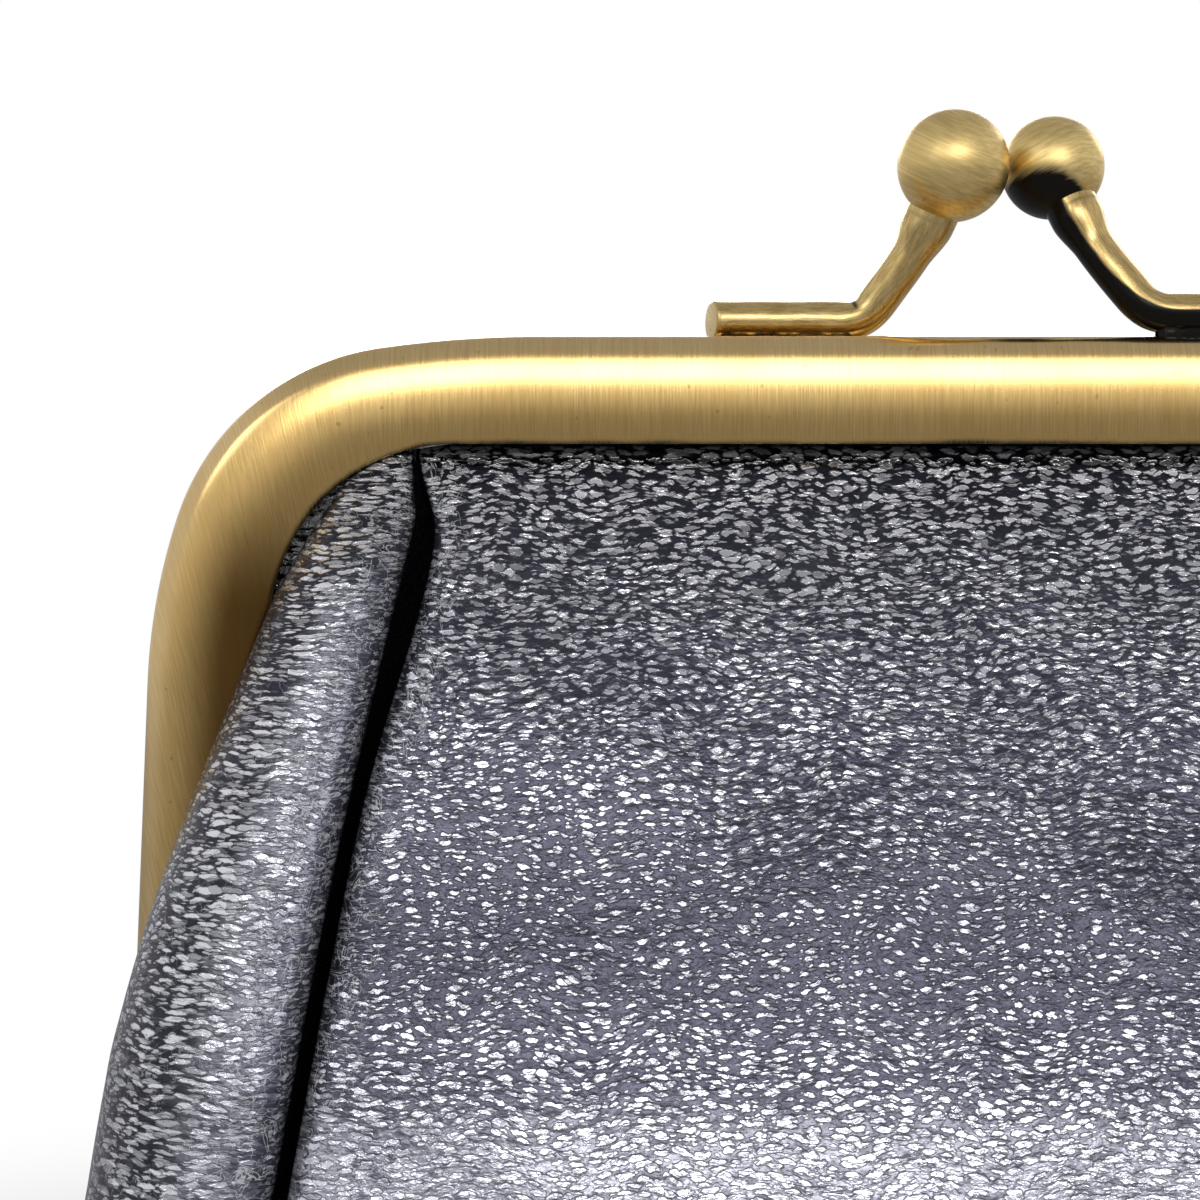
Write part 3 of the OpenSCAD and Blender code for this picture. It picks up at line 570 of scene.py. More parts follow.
def add_panel(parts, painted_light_scale):
    """The panel: a block of rows inside its border, then a strip round it over the lip into the valley."""
    inset = 6.0
    r = panel_corner_r - inset
    top, valley = mouth_top + 3.2, skived_y - 1.3
    rows = [top, mouth_top + 1.6, mouth_top + 0.6, mouth_top, mouth_top - 0.5, mouth_top - 1.1]
    rows += list(np.linspace(mouth_top - 1.8, panel_corner_z + 0.8, 96))
    rows += [panel_corner_z - r * sin(a) for a in np.linspace(0, pi / 2, 14)]
    cols = np.linspace(-1, 1, 145)
    verts, uv, wear, deep = [], [], [], []

    def put(x, z, drop, b, worn, dark=0.0):
        y = panel_base(x, z) - drop - ease((z - (mouth_top - 1.5)) / 1.5)
        y += 0.20 * ease((mouth_top - z) / 8) * ripple(x * 0.9, -b)
        verts.append((x, -y, z))
        uv.append((x, b))
        wear.append(worn)
        # painted shade: black down in the valley and where the leather runs in under the frame
        deep.append(max(dark, ease((z - (mouth_top - 0.9)) / 0.7)))

    for z in rows:
        side = seam_x(z) - inset if z > panel_corner_z \
            else corner_x + sqrt(max(0.0, r * r - (panel_corner_z - z) ** 2))
        for c in cols:
            put(c * side, z, 0.0, z, 0.0)
    m, n = len(rows), len(cols)
    faces = grid_faces(m, n)

    def outward(x, z):
        if z > panel_corner_z:
            return copysign(1, x), 0.0
        if abs(x) <= corner_x:
            return 0.0, -1.0
        d = np.array([x - copysign(corner_x, x), z - panel_corner_z])
        return d / np.linalg.norm(d)

    # the strip runs down the left, along the hem and up the right
    strip = []
    for first in [*range(0, m * n, n), *range((m - 1) * n + 1, m * n - 1), *range(m * n - 1, 0, -n)]:
        x, _, z = verts[first]
        nx, nz = outward(x, z)
        scale = mix(0.12, 1.0, ease((mouth_top + 2 - z) / 13))
        ids = [first]
        # black is the lip's painted shade
        for (d, drop), black in zip(lip_profile(groove(z)), lip_shade):
            px, pz = x + nx * (inset - d), z + nz * (inset - d)
            ids.append(len(verts))
            put(px, min(pz, top), drop * scale, pz, ease((6 - d) / 4), black)
            if panel_base(px, pz) - drop * scale < valley:
                verts[-1] = (px, -valley, pz)
        strip.append(ids)
    for a, b in zip(strip[:-1], strip[1:]):
        faces += [(a[k], b[k], b[k + 1], a[k + 1]) for k in range(len(a) - 1)]
    z = np.array(verts)[:, 2]
    # painted light: a painted glare low on the panel, and a painted darker band around 65 mm up
    gleam = ease((61 - z) / 17) * mix(0.2, 1.0, ease((z - 14) / 28)) - 0.35 * hill(z, 65, 7.5)
    # crush: more relief under the frame, with painted shade there
    parts.add(verts, faces, uv, wear=wear, deep=deep, crush=np.exp(-np.maximum(0.0, mouth_top - z) / 8),
              gleam=painted_light_scale * gleam)


def side_depth(z):
    """Depth of the roll's round part, which grows down the gusset."""
    return mix(tuck_y, 8, ease((gusset_z - z) / 27))


def fold_in(z):
    """How far the gusset folds in on the centre line."""
    return side_fold + 2.6 * hill(z, crease_z, 5.5)


def roll_section(v, l, span, base, g, tuck):
    """Points (out from the seam, forward): the valley's wall, the lip, the roll to its silhouette, then the tuck."""
    r = min(lip_round * (0.35 + 0.65 * l / lip_h), span * 0.3)
    front = v + l + 0.3
    side = min(base, front - 0.3)
    depth = groove_depth * l / lip_h
    pts = [(0.0, front - r - depth), (g * 0.5, front - r - depth * 0.7), (g, front - r)]
    pts += [(g + r - r * cos(t), front - r + r * sin(t)) for t in np.linspace(0.15, pi / 2 - 0.12, 9)]
    pts += [(g + r + (span - g - r) * cos(t) ** 0.92, side + (front - side) * sin(t) ** 0.96)
            for t in np.linspace(pi / 2 - 0.04, 0.0, 30)]
    return pts + [(span + x, y) for x, y in tuck(side)]


def upper_ring(z):
    """Section of the roll beside the frame's leg."""
    x0, xr, xm = seam_x(z), roll_edge(z), mouth_x(z) - 0.2
    held = min(xm, xr)
    out = ease((mouth_top - z - 8.6) / 3.6)     # 0 in the mouth's corner, 1 where the roll lies over the leg
    low = ease((leg_end_z + 0.5 - z) / (leg_end_z - gusset_z))

    def tuck(side):
        # over the leg and into the channel
        back = mix(skived_y + 0.5, tuck_y, out)
        ends = [(mix(xr, held, ease(t / 0.6) if out > 0.5 else t * 0.7), mix(side, back, t ** 0.5))
                for t in np.linspace(0.12, 1.0, 9)]
        ends += [(mix(held, xm, 0.5) if out < 0.5 else xm + 0.05, mix(skived_y + 0.2, back - 0.5, out)),
                 (xm + 0.1 if out > 0.5 else xm, skived_y), (xm + 1.1, skived_y - 0.02),
                 (outline_x(max(z, leg_end_z), crown_r + 0.4), skived_y - 0.05)]
        # below the leg: round the side to the fold on the centre line
        g = np.linspace(0.08, 1.0, len(ends))
        fold = np.stack([xr - fold_in(z) * ease(g) ** 1.2, side * (1 - g)], 1)
        return mix(np.array(ends), fold, low) - [xr, 0]

    base = mix(mix(skived_y + 1.0, tuck_y, out), side_depth(z), low)
    return [(-(x0 + a), -y, z) for a, y in roll_section(edge_y(z), lip(z), xr - x0, base, groove(z), tuck)]


def lower_ring(p0, p1, base, fold):
    """Section of the gusset from the seam at p0 to the silhouette at p1, both (x, z)."""
    p0, p1 = np.array(p0), np.array(p1)
    span = np.linalg.norm(p1 - p0)
    d = (p1 - p0) / span

    def tuck(side):
        return [(-fold * ease(t) ** 1.2, side * (1 - t)) for t in np.linspace(0.08, 1.0, 13)]

    pts = roll_section(edge_y(p0[1]), lip_h, span, base, groove(p0[1]), tuck)
    return [(-(p0[0] + d[0] * a), -y, max(0.0, p0[1] + d[1] * a)) for a, y in pts]


def rim_rings():
    """Sections along the left seam: roll above the hinge, gusset below it, then the bottom strip to the middle."""
    rings = [upper_ring(z) for z in [*np.linspace(mouth_top + 1.2, mouth_top - 18, 56),
                                     *np.linspace(mouth_top - 18.6, gusset_z, 74)]]
    for t in np.linspace(0.02, 1, 46):
        z = mix(gusset_z, panel_corner_z, t)
        base, fold = mix(side_depth(z), 8, ease(t)), mix(fold_in(z), 1.0, t)
        rings.append(lower_ring((seam_x(z), z), (roll_x(z), z), base, fold))
    for t in np.linspace(0.02, 1, 46):
        c, s = cos(radians(90 * t)), sin(radians(90 * t))
        rings.append(lower_ring((mix(base_half_len, seam_full, c), panel_corner_z - panel_corner_r * s),
                                (mix(base_half_len, bag_half_w, c), foot_corner_h * (1 - s)),
                                mix(8, base_half_w, ease(t)), 1 - t))
    last = rings[-1]
    rings += [[(-x, y, z) for _, y, z in last] for x in np.linspace(base_half_len, 0, 56)[1:]]
    return np.array(rings)


def add_rim(parts):
    """Rolls, gusset and bottom strip of one half, with the weights that steer the leather's look, painted light and
    shade among them.
    """
    R = rim_rings()
    n = R.shape[1]
    k, z = np.arange(n), R[:, :, 2]

    def across(at, values):
        return np.interp(k, at, values)[None]

    # length across the roll and along the seam, for the leather's grain; the roll's face is stretched
    stretch = np.interp(k[:-1], [12, 18, 28, 34], [0.95, 0.62, 0.62, 0.95])
    a_uv = -seam_half_w - running(np.linalg.norm(np.diff(R, axis=1), axis=2) * stretch, 1)
    b_uv = np.repeat((mouth_top - length_of(R[:, 14]))[:, None], n, 1)
    # unevenness along the surface's own normal, none in the tuck or where it stands on the table
    nrm = np.cross(np.gradient(R, axis=0), np.gradient(R, axis=1))
    nrm /= np.linalg.norm(nrm, axis=2)[..., None] + 1e-9
    nrm *= -np.sign(nrm[60, 22, 1])
    body = (ease((k - 6) / 8) * ease((n - 14 - k) / 5))[None]
    over_leg = ease((k - 12) / 16)[None] * ease((z - leg_end_z + 6) / 6)
    high = ease((mouth_top - 3 - z) / 8) * ease((z - 1.5) / 4)
    R = R + nrm * (0.24 * ripple(a_uv, -b_uv) * body * high * (1 - over_leg))[..., None]
    z = R[:, :, 2]

    wear = mix(1.0, 0.55, ease((k - 9) / 10))[None] * ease((mouth_top + 4 - z) / 6)
    above = ease((z - leg_end_z) / 2)
    # painted shade: black in the valley, on the roll's outer wall beside the leg and in the tuck into the channel
    valley_shade = across([2, 3, 8], [1.0, 0.9, 0.0])
    side_wall_shade = across([28, 36, 47, 50, 52], [0.0, 0.8, 0.95, 0.6, 0.0]) * ease((z - 72) / 14)
    deep = np.maximum(valley_shade, above * np.maximum(k >= n - 2, side_wall_shade))
    # the crumpled bit between roll and leg takes painted shade and painted light: a black ground with pale glints
    triangle = above * ((k >= n - 5) & (k < n - 2))     # the crumpled bit between roll and leg
    # more crumpled relief, and painted shade: a near black ground with paler pebble tops, under the frame, in the
    # crumpled bit and along the roll
    crush = np.exp(-np.maximum(0.0, mouth_top - z) / 8.0) + 0.8 * triangle
    crush = np.maximum(crush, 0.5 * across([14, 20, 30, 38], [0, 1, 1, 0]) * (z > 15))
    # painted light across the roll: a painted highlight beside the valley, painted shade towards its outer side,
    # painted light in the crumpled bit
    painted_light_scale = across([6, 10, 14, 18, 23, 29, 40], [0.0, 0.5, 1.05, 1.0, 0.25, -0.25, -0.45])
    gleam = 0.65 * painted_light_scale * ease((mouth_top - 5 - z) / 8) * ease((z - 12) / 30) + triangle
    margin = across([7, 9, 11, 14], [0.0, 1.0, 0.9, 0.0]) * ease((mouth_top - 5 - z) / 5)
    for flip in (False, True):
        sign = -1 if flip else 1
        parts.add(R.reshape(-1, 3) * [sign, 1, 1], grid_faces(len(R), n, flip=not flip),
                  np.stack([sign * a_uv.ravel(), b_uv.ravel()], 1), wear=wear.ravel(), deep=deep.ravel(),
                  crush=crush.ravel(), gleam=gleam.ravel(), margin=margin.ravel())


def leather_shell(name, turned):
    parts = Parts()
    # the back panel gets less painted glare than the front
    add_panel(parts, 0.3 if turned else 1.1)
    add_rim(parts)
    return parts.build(name, turned)


# ---------------- lining and cords
def pouch_section(z):
    """Quarter of the lining's section (x, y) inside the bag, from the middle of the face to the side."""
    def spread(full):
        return 1 - max(0.0, (full - z) / (full - floor_z)) ** 2
    w = roll_x(z) - 5 if z > foot_corner_h else mix(base_half_len - 2, bag_half_w - 5, spread(foot_corner_h))
    d = mix(base_half_w - 3, belly_y(max(z, hem_z + 5)) - 3.4, spread(panel_corner_z)) - 2.6 * hill(z, 55, 9)
    fold = 2.2 * hill(z, crease_z, 6.5) + 0.6
    out = []
    for t in np.linspace(pi / 2, 0, 61):
        y = d * sin(t) ** 0.5
        out.append((w * max(cos(t), 0.0) ** 0.5 - fold * hill(y, 0.0, 5), y))
    return np.array(out)


def mouth_section(z):
    """The same between the frame's legs: behind the panel, then over to the channel."""
    low = ease((mouth_top - z) / 9)
    side = (seam_x(z) - 0.5) * 0.97
    xm = max(mouth_x(z) - 1.6, seam_x(z) - 0.3)
    xc = max(outline_x(max(z, leg_end_z), crown_r + 1), seam_x(z) + 0.1)
    edge = 1.55

    def face(x):
        y = panel_base(x * 0.93, z) - lip(z) * hill(max(seam_x(z) - x * 0.93, 0), 0.0, 1.8)
        return max(edge, y - mix(1.7, 3.0, low) - 1.1 * low * hill(x, seam_x(z), 6))

    out = [(side * t, face(side * t)) for t in np.linspace(0, 1, 41)]
    last = out[-1][1]
    out += [(mix(side, xm, t), max(edge, mix(last, edge, t ** 0.8))) for t in np.linspace(0, 1, 16)[1:]]
    out += [(mix(xm, xc, t), edge) for t in np.linspace(0, 1, 6)[1:]]
    return np.array(out)


def lining_shell(name, turned):
    """One half of the lining, its flat size (metres) and its area (square metres)."""
    rows = [*np.linspace(mouth_top + 3, mouth_top - 4, 10), *np.linspace(mouth_top - 5, floor_z + 14, 74)]
    rows += [floor_z + 14 * (1 - sin(a)) for a in np.linspace(0.1, pi / 2, 16)]
    grid = []
    for z in rows:
        low = ease((z - gusset_z) / 14)
        p = pouch_section(z)
        if low > 0:
            p = mix(p, mouth_section(z), low)
        grid.append(np.stack([p[:, 0], p[:, 1], np.full(len(p), z)], 1))
    grid += [grid[-1] * [1, t, 1] for t in np.linspace(1, 0, 14)[1:]]      # the floor, to the middle
    G = np.array(grid)
    middle = G.shape[1] - 1
    G = np.concatenate([G[:, :0:-1] * [-1, 1, 1], G], 1)
    down, across = length_of(G), length_of(G, 1)
    across -= across[:, middle:middle + 1]
    loose = ease((mouth_top - 6 - G[:, :, 2]) / 20) * ease((G[:, :, 2] - floor_z - 1) / 6) * ease(G[:, :, 1] / 4)
    G[:, :, 1] -= 0.45 * loose * (1 + ripple(across * 1.6, down * 0.5)) / 1.4
    parts = Parts()
    parts.add(G.reshape(-1, 3) * [1, -1, 1], grid_faces(*G.shape[:2], flip=True),
              np.stack([across.ravel(), -down.ravel()], 1))
    ob = parts.build(name, turned)
    size = [float(np.ptp(across, axis=1).max() * MM), float(down.max() * MM)]
    return ob, size, sum(f.area for f in ob.data.polygons)


def channel_cord(name, turned):
    """Paper cord, two strands twisted, along the bottom of the channel."""
    path = [(p, n) for p, n in frame_path() if p[1] > leg_end_z + 1.5]
    centre = np.array([[p[0] - n[0] * 4.3, -(back_y + wall + 0.42), p[1] - n[1] * 4.3] for p, n in path])
    out = np.array([[n[0], 0, n[1]] for _, n in path])
    s = length_of(centre)
    even = np.linspace(0, s[-1], 460)
    centre, out = (np.stack([np.interp(even, s, line[:, k]) for k in range(3)], 1) for line in (centre, out))
    a = np.linspace(0, 2 * pi, 16, endpoint=False)
    r = 0.30 * (1 - 0.22 * np.abs(np.sin(a[None] - even[:, None] * 2.2)))
    pts = centre[:, None] + out[:, None] * (r * np.cos(a))[..., None] - [0, 1, 0] * (r * np.sin(a))[..., None]
    parts = Parts()
    parts.add(pts, grid_faces(len(even), 16, wrap=True), np.stack([np.tile(a, len(even)), np.repeat(even, 16)], 1))
    return parts.build(name, turned)


# ---------------- shading
class Net:
    """A small helper that writes the nodes of a material or a world."""
    def __init__(self, owner):
        owner.use_nodes = True
        self.owner, self.tree = owner, owner.node_tree
        self.tree.nodes.clear()

    def add(self, kind, ins=None, **props):
        n = self.tree.nodes.new(kind)
        for k, v in props.items():
            setattr(n, k, v)
        for k, v in (ins or {}).items():
            self.put(n.inputs[k], v)
        return n

    def put(self, socket, v):
        if isinstance(v, bpy.types.NodeSocket):
            self.tree.links.new(v, socket)
        elif socket.type == "RGBA" and len(v) == 3:
            socket.default_value = (*v, 1.0)
        else:
            socket.default_value = v

    def math(self, op, *values):
        return self.add("ShaderNodeMath", dict(enumerate(values)), operation=op).outputs[0]

    def mul(self, a, b):
        return self.math("MULTIPLY", a, b)

    def fma(self, a, b, c):
        """a times b plus c."""
        return self.math("MULTIPLY_ADD", a, b, c)

    def vector(self, op, ins):
        return self.add("ShaderNodeVectorMath", ins, operation=op).outputs[0]

    def mix(self, f, a, b):
        return self.add("ShaderNodeMix", {0: f, 6: a, 7: b}, data_type="RGBA", clamp_factor=True).outputs[2]

    def span(self, v, lo, hi, a=0.0, b=1.0):
        """Smooth step from a to b as v goes from lo to hi."""
        ins = {0: v, 1: lo, 2: hi, 3: a, 4: b}
        return self.add("ShaderNodeMapRange", ins, interpolation_type="SMOOTHSTEP").outputs[0]

    def attr(self, name):
        return self.add("ShaderNodeAttribute", attribute_name=name).outputs["Fac"]

    def uv(self):
        return self.add("ShaderNodeUVMap", uv_map="UVMap").outputs[0]

    def coordinate(self, kind):
        return self.add("ShaderNodeTexCoord").outputs[kind]

    def scaled(self, vector, x, y, at=(0, 0, 0)):
        return self.add("ShaderNodeMapping", {"Vector": vector, "Scale": (x, y, 1.0), "Location": at}).outputs[0]

    def noise(self, vector, scale, detail, rough=0.5, warp=0.0, out=0):
        ins = {"Vector": vector, "Scale": scale, "Detail": detail, "Roughness": rough, "Distortion": warp}
        return self.add("ShaderNodeTexNoise", ins).outputs[out]

    def mix_shader(self, f, a, b):
        return self.add("ShaderNodeMixShader", {0: f, 1: a, 2: b}).outputs[0]

    def surface(self, col, rough, height, relief, strength=1.0, **more):
        """Ends a material; relief is the bump's depth in metres."""
        bump = self.add("ShaderNodeBump", {"Strength": strength, "Distance": relief, "Height": height}).outputs[0]
        ins = {"Base Color": col, "Roughness": rough, "Normal": bump}
        ins.update({k.replace("_", " "): v for k, v in more.items()})
        return self.finish(self.add("ShaderNodeBsdfPrincipled", ins).outputs[0])

    def finish(self, shader):
        self.add("ShaderNodeOutputMaterial", {"Surface": shader})
        return self.owner


def material(name):
    return Net(bpy.data.materials.new(name))


def tint(colour, *factors):
    return tuple(min(1.0, c * f) for c, f in zip(colour, factors))


def brass(name, base, line_u, line_v, rough, contrast=1.0, strength=0.5):
    """Brushed antique brass: fine strokes, lacquer left dark in the recesses, small specks; painted shade darkens the
    band's faces and, on the clasp, the places where its parts meet.
    """
    n = material(name)
    uv, pos = n.uv(), n.coordinate("Object")
    strokes = n.noise(n.scaled(uv, line_u, line_v), 1.0, 3.0, 0.6)
    fine = n.noise(n.scaled(uv, line_u * 2.7, line_v * 1.6), 1.0, 2.0, 0.6)
    brush = n.fma(fine, 0.45, n.mul(strokes, 0.55))
    cloud = n.noise(pos, 160.0, 3.0, 0.6)
    # the dark weight: lacquer left in the recesses; on the clasp also painted shade under the rods' feet, on the
    # solder beads and where the balls face each other
    mottled = n.fma(n.math("SUBTRACT", cloud, 0.5), 0.7, n.attr("dark"))
    mottled = n.fma(n.math("SUBTRACT", brush, 0.5), 0.9, mottled)
    mask = n.span(mottled, 0.32, 0.95)
    col = n.mix(n.span(brush, 0.33, 0.67), tint(base, *(1 - contrast * k for k in (0.22, 0.26, 0.36))),
                tint(base, *[1 + 0.12 * contrast] * 3))
    col = n.mix(n.mul(n.span(cloud, 0.35, 0.75), 0.35), col, tint(base, 0.86, 0.76, 0.6))
    specks = n.span(n.noise(pos, 1500.0, 1.0, 0.5), 0.73, 0.8)
    col = n.mix(n.mul(specks, 0.4), col, tint(base, 0.4, 0.32, 0.2))
    col = n.mix(n.mul(n.attr("edge"), 0.22), col, (0.92, 0.80, 0.56))
    # painted shade on the band's faces
    col = n.mix(n.attr("brown"), col, tint(base, 0.15, 0.11, 0.065))
    col = n.mix(mask, col, (0.005, 0.0035, 0.002))
    r = n.fma(mask, -0.08, n.fma(brush, 0.16, rough - 0.08))
    return n.surface(col, r, brush, 0.00005, strength, Metallic=n.fma(mask, -1.0, 1.0), Specular_IOR_Level=0.15)


def leather(name):
    """Pebbled metallic leather: small flat pebbles, wider than high, their tops painted pale as glints on a dark
    ground, some brighter than others;
    painted shade makes it blacker under the frame, where it is also more crumpled; painted light and shade across
    panel and roll; pale cracks in the foil near the seams."""
    n = material(name)
    uv = n.uv()
    wear, deep, crush, gleam, margin = [n.attr(k) for k in ("wear", "deep", "crush", "gleam", "margin")]

    def moved(vector, scale, detail, amount):
        off = n.vector("SUBTRACT", {0: n.noise(uv, scale, detail, out="Color"), 1: (0.5, 0.5, 0.5)})
        return n.vector("ADD", {0: vector, 1: n.vector("SCALE", {0: off, "Scale": amount})})

    drift = moved(uv, 0.13, 1.0, 2.4)
    at = moved(drift, 1.3, 2.0, 0.55)
    grain = n.noise(uv, 4.0, 2.0, 0.6)

    def pebbles(x, y, shift, inner, outer):
        cell = n.add("ShaderNodeTexVoronoi", {"Vector": n.scaled(at, x, y, shift), "Scale": 1.0},
                     feature="F1", voronoi_dimensions="2D")
        chance = n.add("ShaderNodeSeparateColor", {0: cell.outputs["Color"]})
        wide = n.fma(grain, 0.22, n.fma(chance.outputs[1], 0.14, cell.outputs["Distance"]))
        wide = n.fma(gleam, -0.10, n.fma(crush, -0.07, wide))
        return n.span(wide, inner, outer, 1.0, 0.0), chance.outputs[0]

    big, chance = pebbles(0.72, 2.05, (0, 0, 0), 0.41, 0.58)
    small, chance_2 = pebbles(1.35, 3.7, (3.3, 7.7, 0), 0.35, 0.52)
    small = n.mul(small, n.span(chance_2, 0.35, 0.6))
    folds = n.noise(n.scaled(drift, 0.16, 0.50, (5, 9, 0)), 1.0, 3.0, 0.5, 0.5)
    crumple = n.noise(n.scaled(at, 0.55, 1.30, (2, 4, 0)), 1.0, 3.0, 0.6, 0.3)
    height = n.fma(crumple, 0.60, n.fma(small, 0.20, n.mul(big, 0.34)))
    height = n.mul(height, n.fma(crush, 0.5, 1.0))
    height = n.fma(grain, 0.08, n.fma(folds, 0.45, height))
    height = n.mul(height, n.fma(margin, -0.6, 1.0))
    ground = n.mix(n.span(n.noise(uv, 0.09, 3.0, 0.6), 0.3, 0.7), (0.066, 0.067, 0.092), (0.095, 0.097, 0.127))
    # painted light: the ground paler where glare is painted, darker in the painted dark band
    ground = n.mix(n.mul(n.span(gleam, 0.30, 1.0), 0.80), ground, (0.52, 0.525, 0.59))
    ground = n.mix(n.mul(gleam, -1.0), ground, (0.035, 0.035, 0.048))
    # painted shade in the low places of the crumpled relief
    ground = n.mix(n.mul(n.span(crumple, 0.56, 0.40), 0.7), ground, (0.060, 0.060, 0.080))
    # painted shade: the ground near black under the frame
    ground = n.mix(n.mul(crush, 0.95), ground, (0.007, 0.007, 0.011))
    # painted glints: pebble tops painted pale on the dark ground, some brighter than others, palest under the frame
    lit = n.fma(n.span(chance, 0.10, 0.60), 0.65, 0.35)
    painted_glint = n.math("MAXIMUM", n.mul(big, lit), n.mul(small, 0.65))
    painted_glint = n.mul(painted_glint, n.fma(margin, -0.85, 1.0))
    painted_glint = n.mul(painted_glint, n.fma(n.math("MINIMUM", gleam, 0.0), 1.2, 1.0))
    col = n.mix(painted_glint, ground, n.mix(crush, (0.74, 0.75, 0.83), (1.0, 1.0, 1.0)))
    # pale cracked foil beside the seams: thin wandering lines
    fields = [n.noise(n.scaled(uv, x, y, shift), 1.0, 3.0, 0.6, 0.8)
              for x, y, shift in ((0.34, 0.75, (1, 8, 0)), (0.65, 0.40, (6, 2, 0)))]
    lines = [n.span(n.math("ABSOLUTE", n.math("SUBTRACT", v, 0.5)), 0.003, 0.011, 1.0, 0.0) for v in fields]
    crack = n.mul(n.math("MAXIMUM", *lines), n.span(n.fma(n.noise(uv, 0.40, 3.0, 0.6), 1.2, wear), 0.95, 1.50))
    col = n.mix(n.mul(crack, 0.8), col, (0.55, 0.56, 0.57))
    # painted shade: near black in the valleys, under the frame and in the tucks
    col = n.mix(deep, col, (0.004, 0.004, 0.006))
    rough = n.fma(painted_glint, -0.10, n.fma(n.noise(uv, 1.6, 3.0, 0.6), 0.16, 0.20))
    rough = n.fma(crack, 0.25, rough)
    metal = n.mul(n.fma(crack, -0.6, 0.92), n.math("SUBTRACT", 1.0, deep))
    return n.surface(col, rough, height, 0.00022, Metallic=metal, Specular_IOR_Level=0.3)


def cloth(name):
    """Plain woven lining."""
    n = material(name)
    uv = n.uv()
    dark, pale = (0.048, 0.050, 0.062), (0.105, 0.108, 0.13)
    warp, weft = [n.add("ShaderNodeTexWave", {"Vector": uv, "Scale": 1.1, "Distortion": 0.6, "Detail": 1.0,
                                              "Detail Scale": 2.0}, wave_type="BANDS", bands_direction=axis).outputs[0]
                  for axis in "XY"]
    weave = n.mul(warp, weft)
    col = n.mix(n.mul(n.noise(uv, 0.12, 3.0), 0.4), n.mix(weave, dark, pale), dark)
    return n.surface(col, 0.62, weave, 0.00012, 0.6, Sheen_Weight=0.25, Sheen_Roughness=0.4)


def paper(name, base):
    """Fibrous paper or board."""
    n = material(name)
    fibres = n.noise(n.coordinate("Object"), 900.0, 4.0, 0.7)
    return n.surface(n.mix(fibres, tint(base, 0.7, 0.7, 0.7), tint(base, 1.2, 1.2, 1.2)), 0.85, fibres, 0.0002, 0.4)


# ---------------- pieces
band_mat = brass("brushed_brass", (0.725, 0.505, 0.20), 7.5, 0.22, 0.20, contrast=0.7, strength=0.14)
ball_mat = brass("ball_brass", (0.86, 0.66, 0.28), 3.4, 0.35, 0.40, contrast=1.2, strength=0.25)
rod_mat = brass("rod_brass", (0.68, 0.51, 0.22), 3.0, 0.5, 0.28, contrast=1.6, strength=0.25)
rivet_mat = brass("rivet_brass", (0.58, 0.42, 0.18), 2.0, 1.0, 0.34)
leather_mat = leather("pewter_leather")
cloth_mat = cloth("lining_cloth")
paper_mat = paper("paper_cord", (0.50, 0.40, 0.27))
board_mat = paper("grey_board", (0.42, 0.40, 0.37))
halves = (("front", "left", False), ("back", "right", True))


def dress(ob, mat, slot, *nodes):
    ob.data.materials.append(mat)
    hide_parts(*nodes)


def place(ob, mat, body, slot, *nodes):
    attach(ob, body)
    dress(ob, mat, slot, *nodes)


def bend(ob):
    """Bakes a soft shell's placement into its mesh."""
    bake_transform(ob)


for word, side, turned in halves:
    place(frame_half(word + "_band", turned), band_mat, word + "_half", "antique_brass", word + "_frame")
    place(rivet(side + "_hinge_rivet", turned), rivet_mat, word + "_half", "dark_brass", side + "_rivet")
# the left clasp stands on the back half; the right one, built as the front's copy turned round, on the front half
for side, turned, body in (("left", False, "back_half"), ("right", True, "front_half")):
    place(clasp_rod(side + "_rod", side, turned), rod_mat, body, "antique_brass", side + "_clasp_stem")
    place(clasp_ball(side + "_ball", side, turned), ball_mat, body, "antique_brass", side + "_clasp_ball")

for word, side, turned in halves:
    shell = leather_shell(word + "_leather", turned)
    nodes = [word + "_panel_top", word + "_panel_bottom", "left_" + word + "_wing", "right_" + word + "_wing",
             word + "_wadding_top", word + "_wadding_bottom", side + "_gusset"]
    dress(shell, leather_mat, "pewter_leather", *nodes, *([] if turned else ["bottom_panel"]))
    bend(shell)

for word, _, turned in halves:
    shell, size, area = lining_shell(word + "_lining", turned)
    dress(shell, cloth_mat, "lining_cloth", word + "_lining_top", *([] if turned else ["lining_bag"]))
    bend(shell)
    place(channel_cord(word + "_paper_cord", turned), paper_mat, word + "_half", "paper_cord", word + "_channel_cord")
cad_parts["base_board"].data.materials.clear()
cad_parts["base_board"].data.materials.append(board_mat)

# ---------------- stage, light and camera
scene = bpy.context.scene
scene.view_settings.view_transform = "Standard"


def floor():
    """The table: it takes the shadow near the purse, fades to white, and shows grey in reflections."""
    me = bpy.data.meshes.new("floor")
    s = 2.5
    me.from_pydata([(-s, -s, 0), (s, -s, 0), (s, s, 0), (-s, s, 0)], [], [(0, 1, 2, 3)])
    ob = bpy.data.objects.new("floor", me)
    scene.collection.objects.link(ob)
    n = material("floor")
    far = n.add("ShaderNodeVectorMath", {0: n.coordinate("Object")}, operation="LENGTH").outputs["Value"]
    rays = n.add("ShaderNodeLightPath").outputs
    plain = n.add("ShaderNodeBsdfDiffuse", {"Color": (0.86, 0.86, 0.86)}).outputs[0]
    white = n.add("ShaderNodeEmission", {"Color": (1.0, 1.0, 1.0), "Strength": 1.0}).outputs[0]
    grey = n.add("ShaderNodeEmission", {"Color": (0.36, 0.36, 0.38), "Strength": 1.0}).outputs[0]
    shown = n.mix_shader(n.span(far, 0.10, 0.24), plain, white)
    seen = n.mix_shader(rays["Is Camera Ray"], plain, shown)
    me.materials.append(n.finish(n.mix_shader(rays["Is Glossy Ray"], seen, grey)))


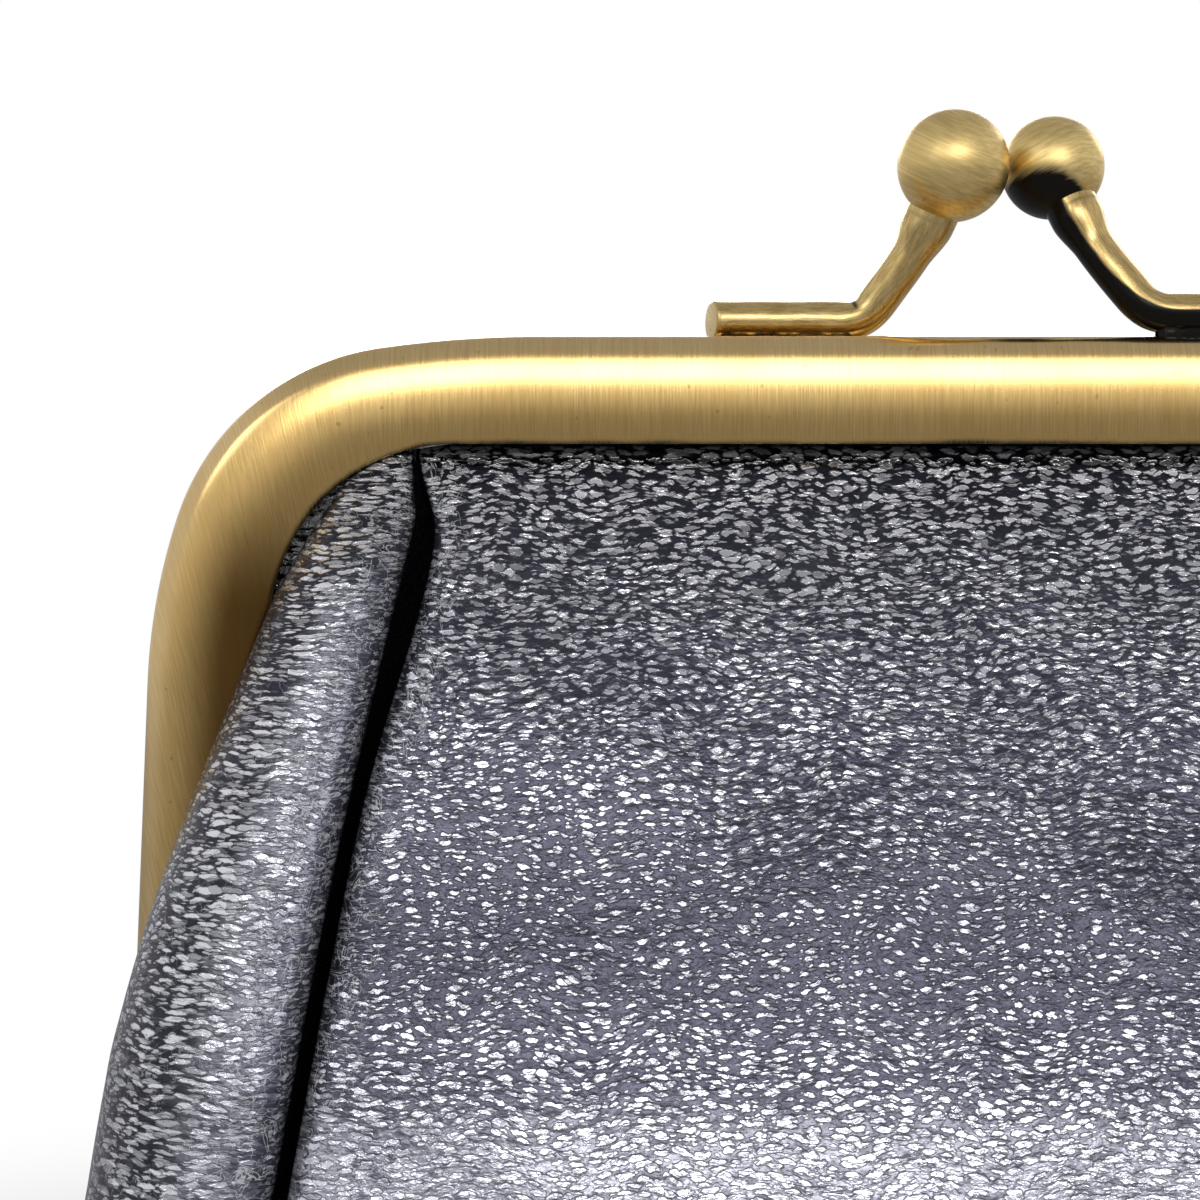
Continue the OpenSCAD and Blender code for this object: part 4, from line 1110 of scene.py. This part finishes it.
def softbox(name, at, size, size_y, radiance):
    """A rectangular lamp aimed at the top of the purse."""
    lamp = bpy.data.lights.new(name, "AREA")
    lamp.shape, lamp.size, lamp.size_y = "RECTANGLE", size, size_y
    lamp.energy = radiance * pi * size * size_y
    ob = bpy.data.objects.new(name, lamp)
    scene.collection.objects.link(ob)
    ob.location = at
    ob.rotation_mode = "QUATERNION"
    ob.rotation_quaternion = (Vector((0, 0, 0.10)) - Vector(at)).to_track_quat("-Z", "Y")


def studio():
    """The world: white for the camera, an even grey for diffuse rays, soft bands of grey for reflections."""
    world = bpy.data.worlds.new("studio")
    scene.world = world
    n = Net(world)
    rays = n.add("ShaderNodeLightPath").outputs
    x, _, z = n.add("ShaderNodeSeparateXYZ", {0: n.coordinate("Generated")}).outputs
    side = n.span(n.math("ABSOLUTE", x), 0.40, 0.72)
    tone = n.mix(n.span(z, -0.10, 0.16), (0.36, 0.36, 0.37), (0.80, 0.80, 0.82))
    tone = n.mix(n.span(z, 0.44, 0.58), tone, (0.44, 0.44, 0.45))
    tone = n.mix(n.span(z, 0.74, 0.92), tone, (0.42, 0.42, 0.43))
    tone = n.mix(n.mul(side, n.span(z, 0.95, 0.6)), tone, (0.70, 0.70, 0.72))
    glossy, plain, white = [n.add("ShaderNodeBackground", {"Color": c, "Strength": 1.0}).outputs[0]
                            for c in (tone, (0.52, 0.52, 0.54), (1.0, 1.0, 1.0))]
    lit = n.mix_shader(rays["Is Glossy Ray"], plain, glossy)
    n.add("ShaderNodeOutputWorld", {"Surface": n.mix_shader(rays["Is Camera Ray"], lit, white)})


floor()
for name, way in (("front", -1), ("back", 1)):
    softbox("key_" + name, (-0.06 * way, 1.2 * way, 0.575), 0.92, 0.26, 5.0)
    softbox("left_" + name, (0.80 * way, 0.95 * way, 0.66), 0.34, 0.36, 2.6)
studio()

# the photograph: 1200 pixels of 0.0757 mm in the plane of the frame's face, seen from 170 mm before it
cam_data = bpy.data.cameras.new("camera")
cam_data.sensor_width = 36.0
cam_data.lens = 36.0 * 170.0 / (1200 * 0.0757)
cam = bpy.data.objects.new("camera", cam_data)
scene.collection.objects.link(cam)
cam.location = (-0.0312, -0.17485, 0.08774)
cam.rotation_euler = (radians(90), 0, 0)
scene.camera = cam
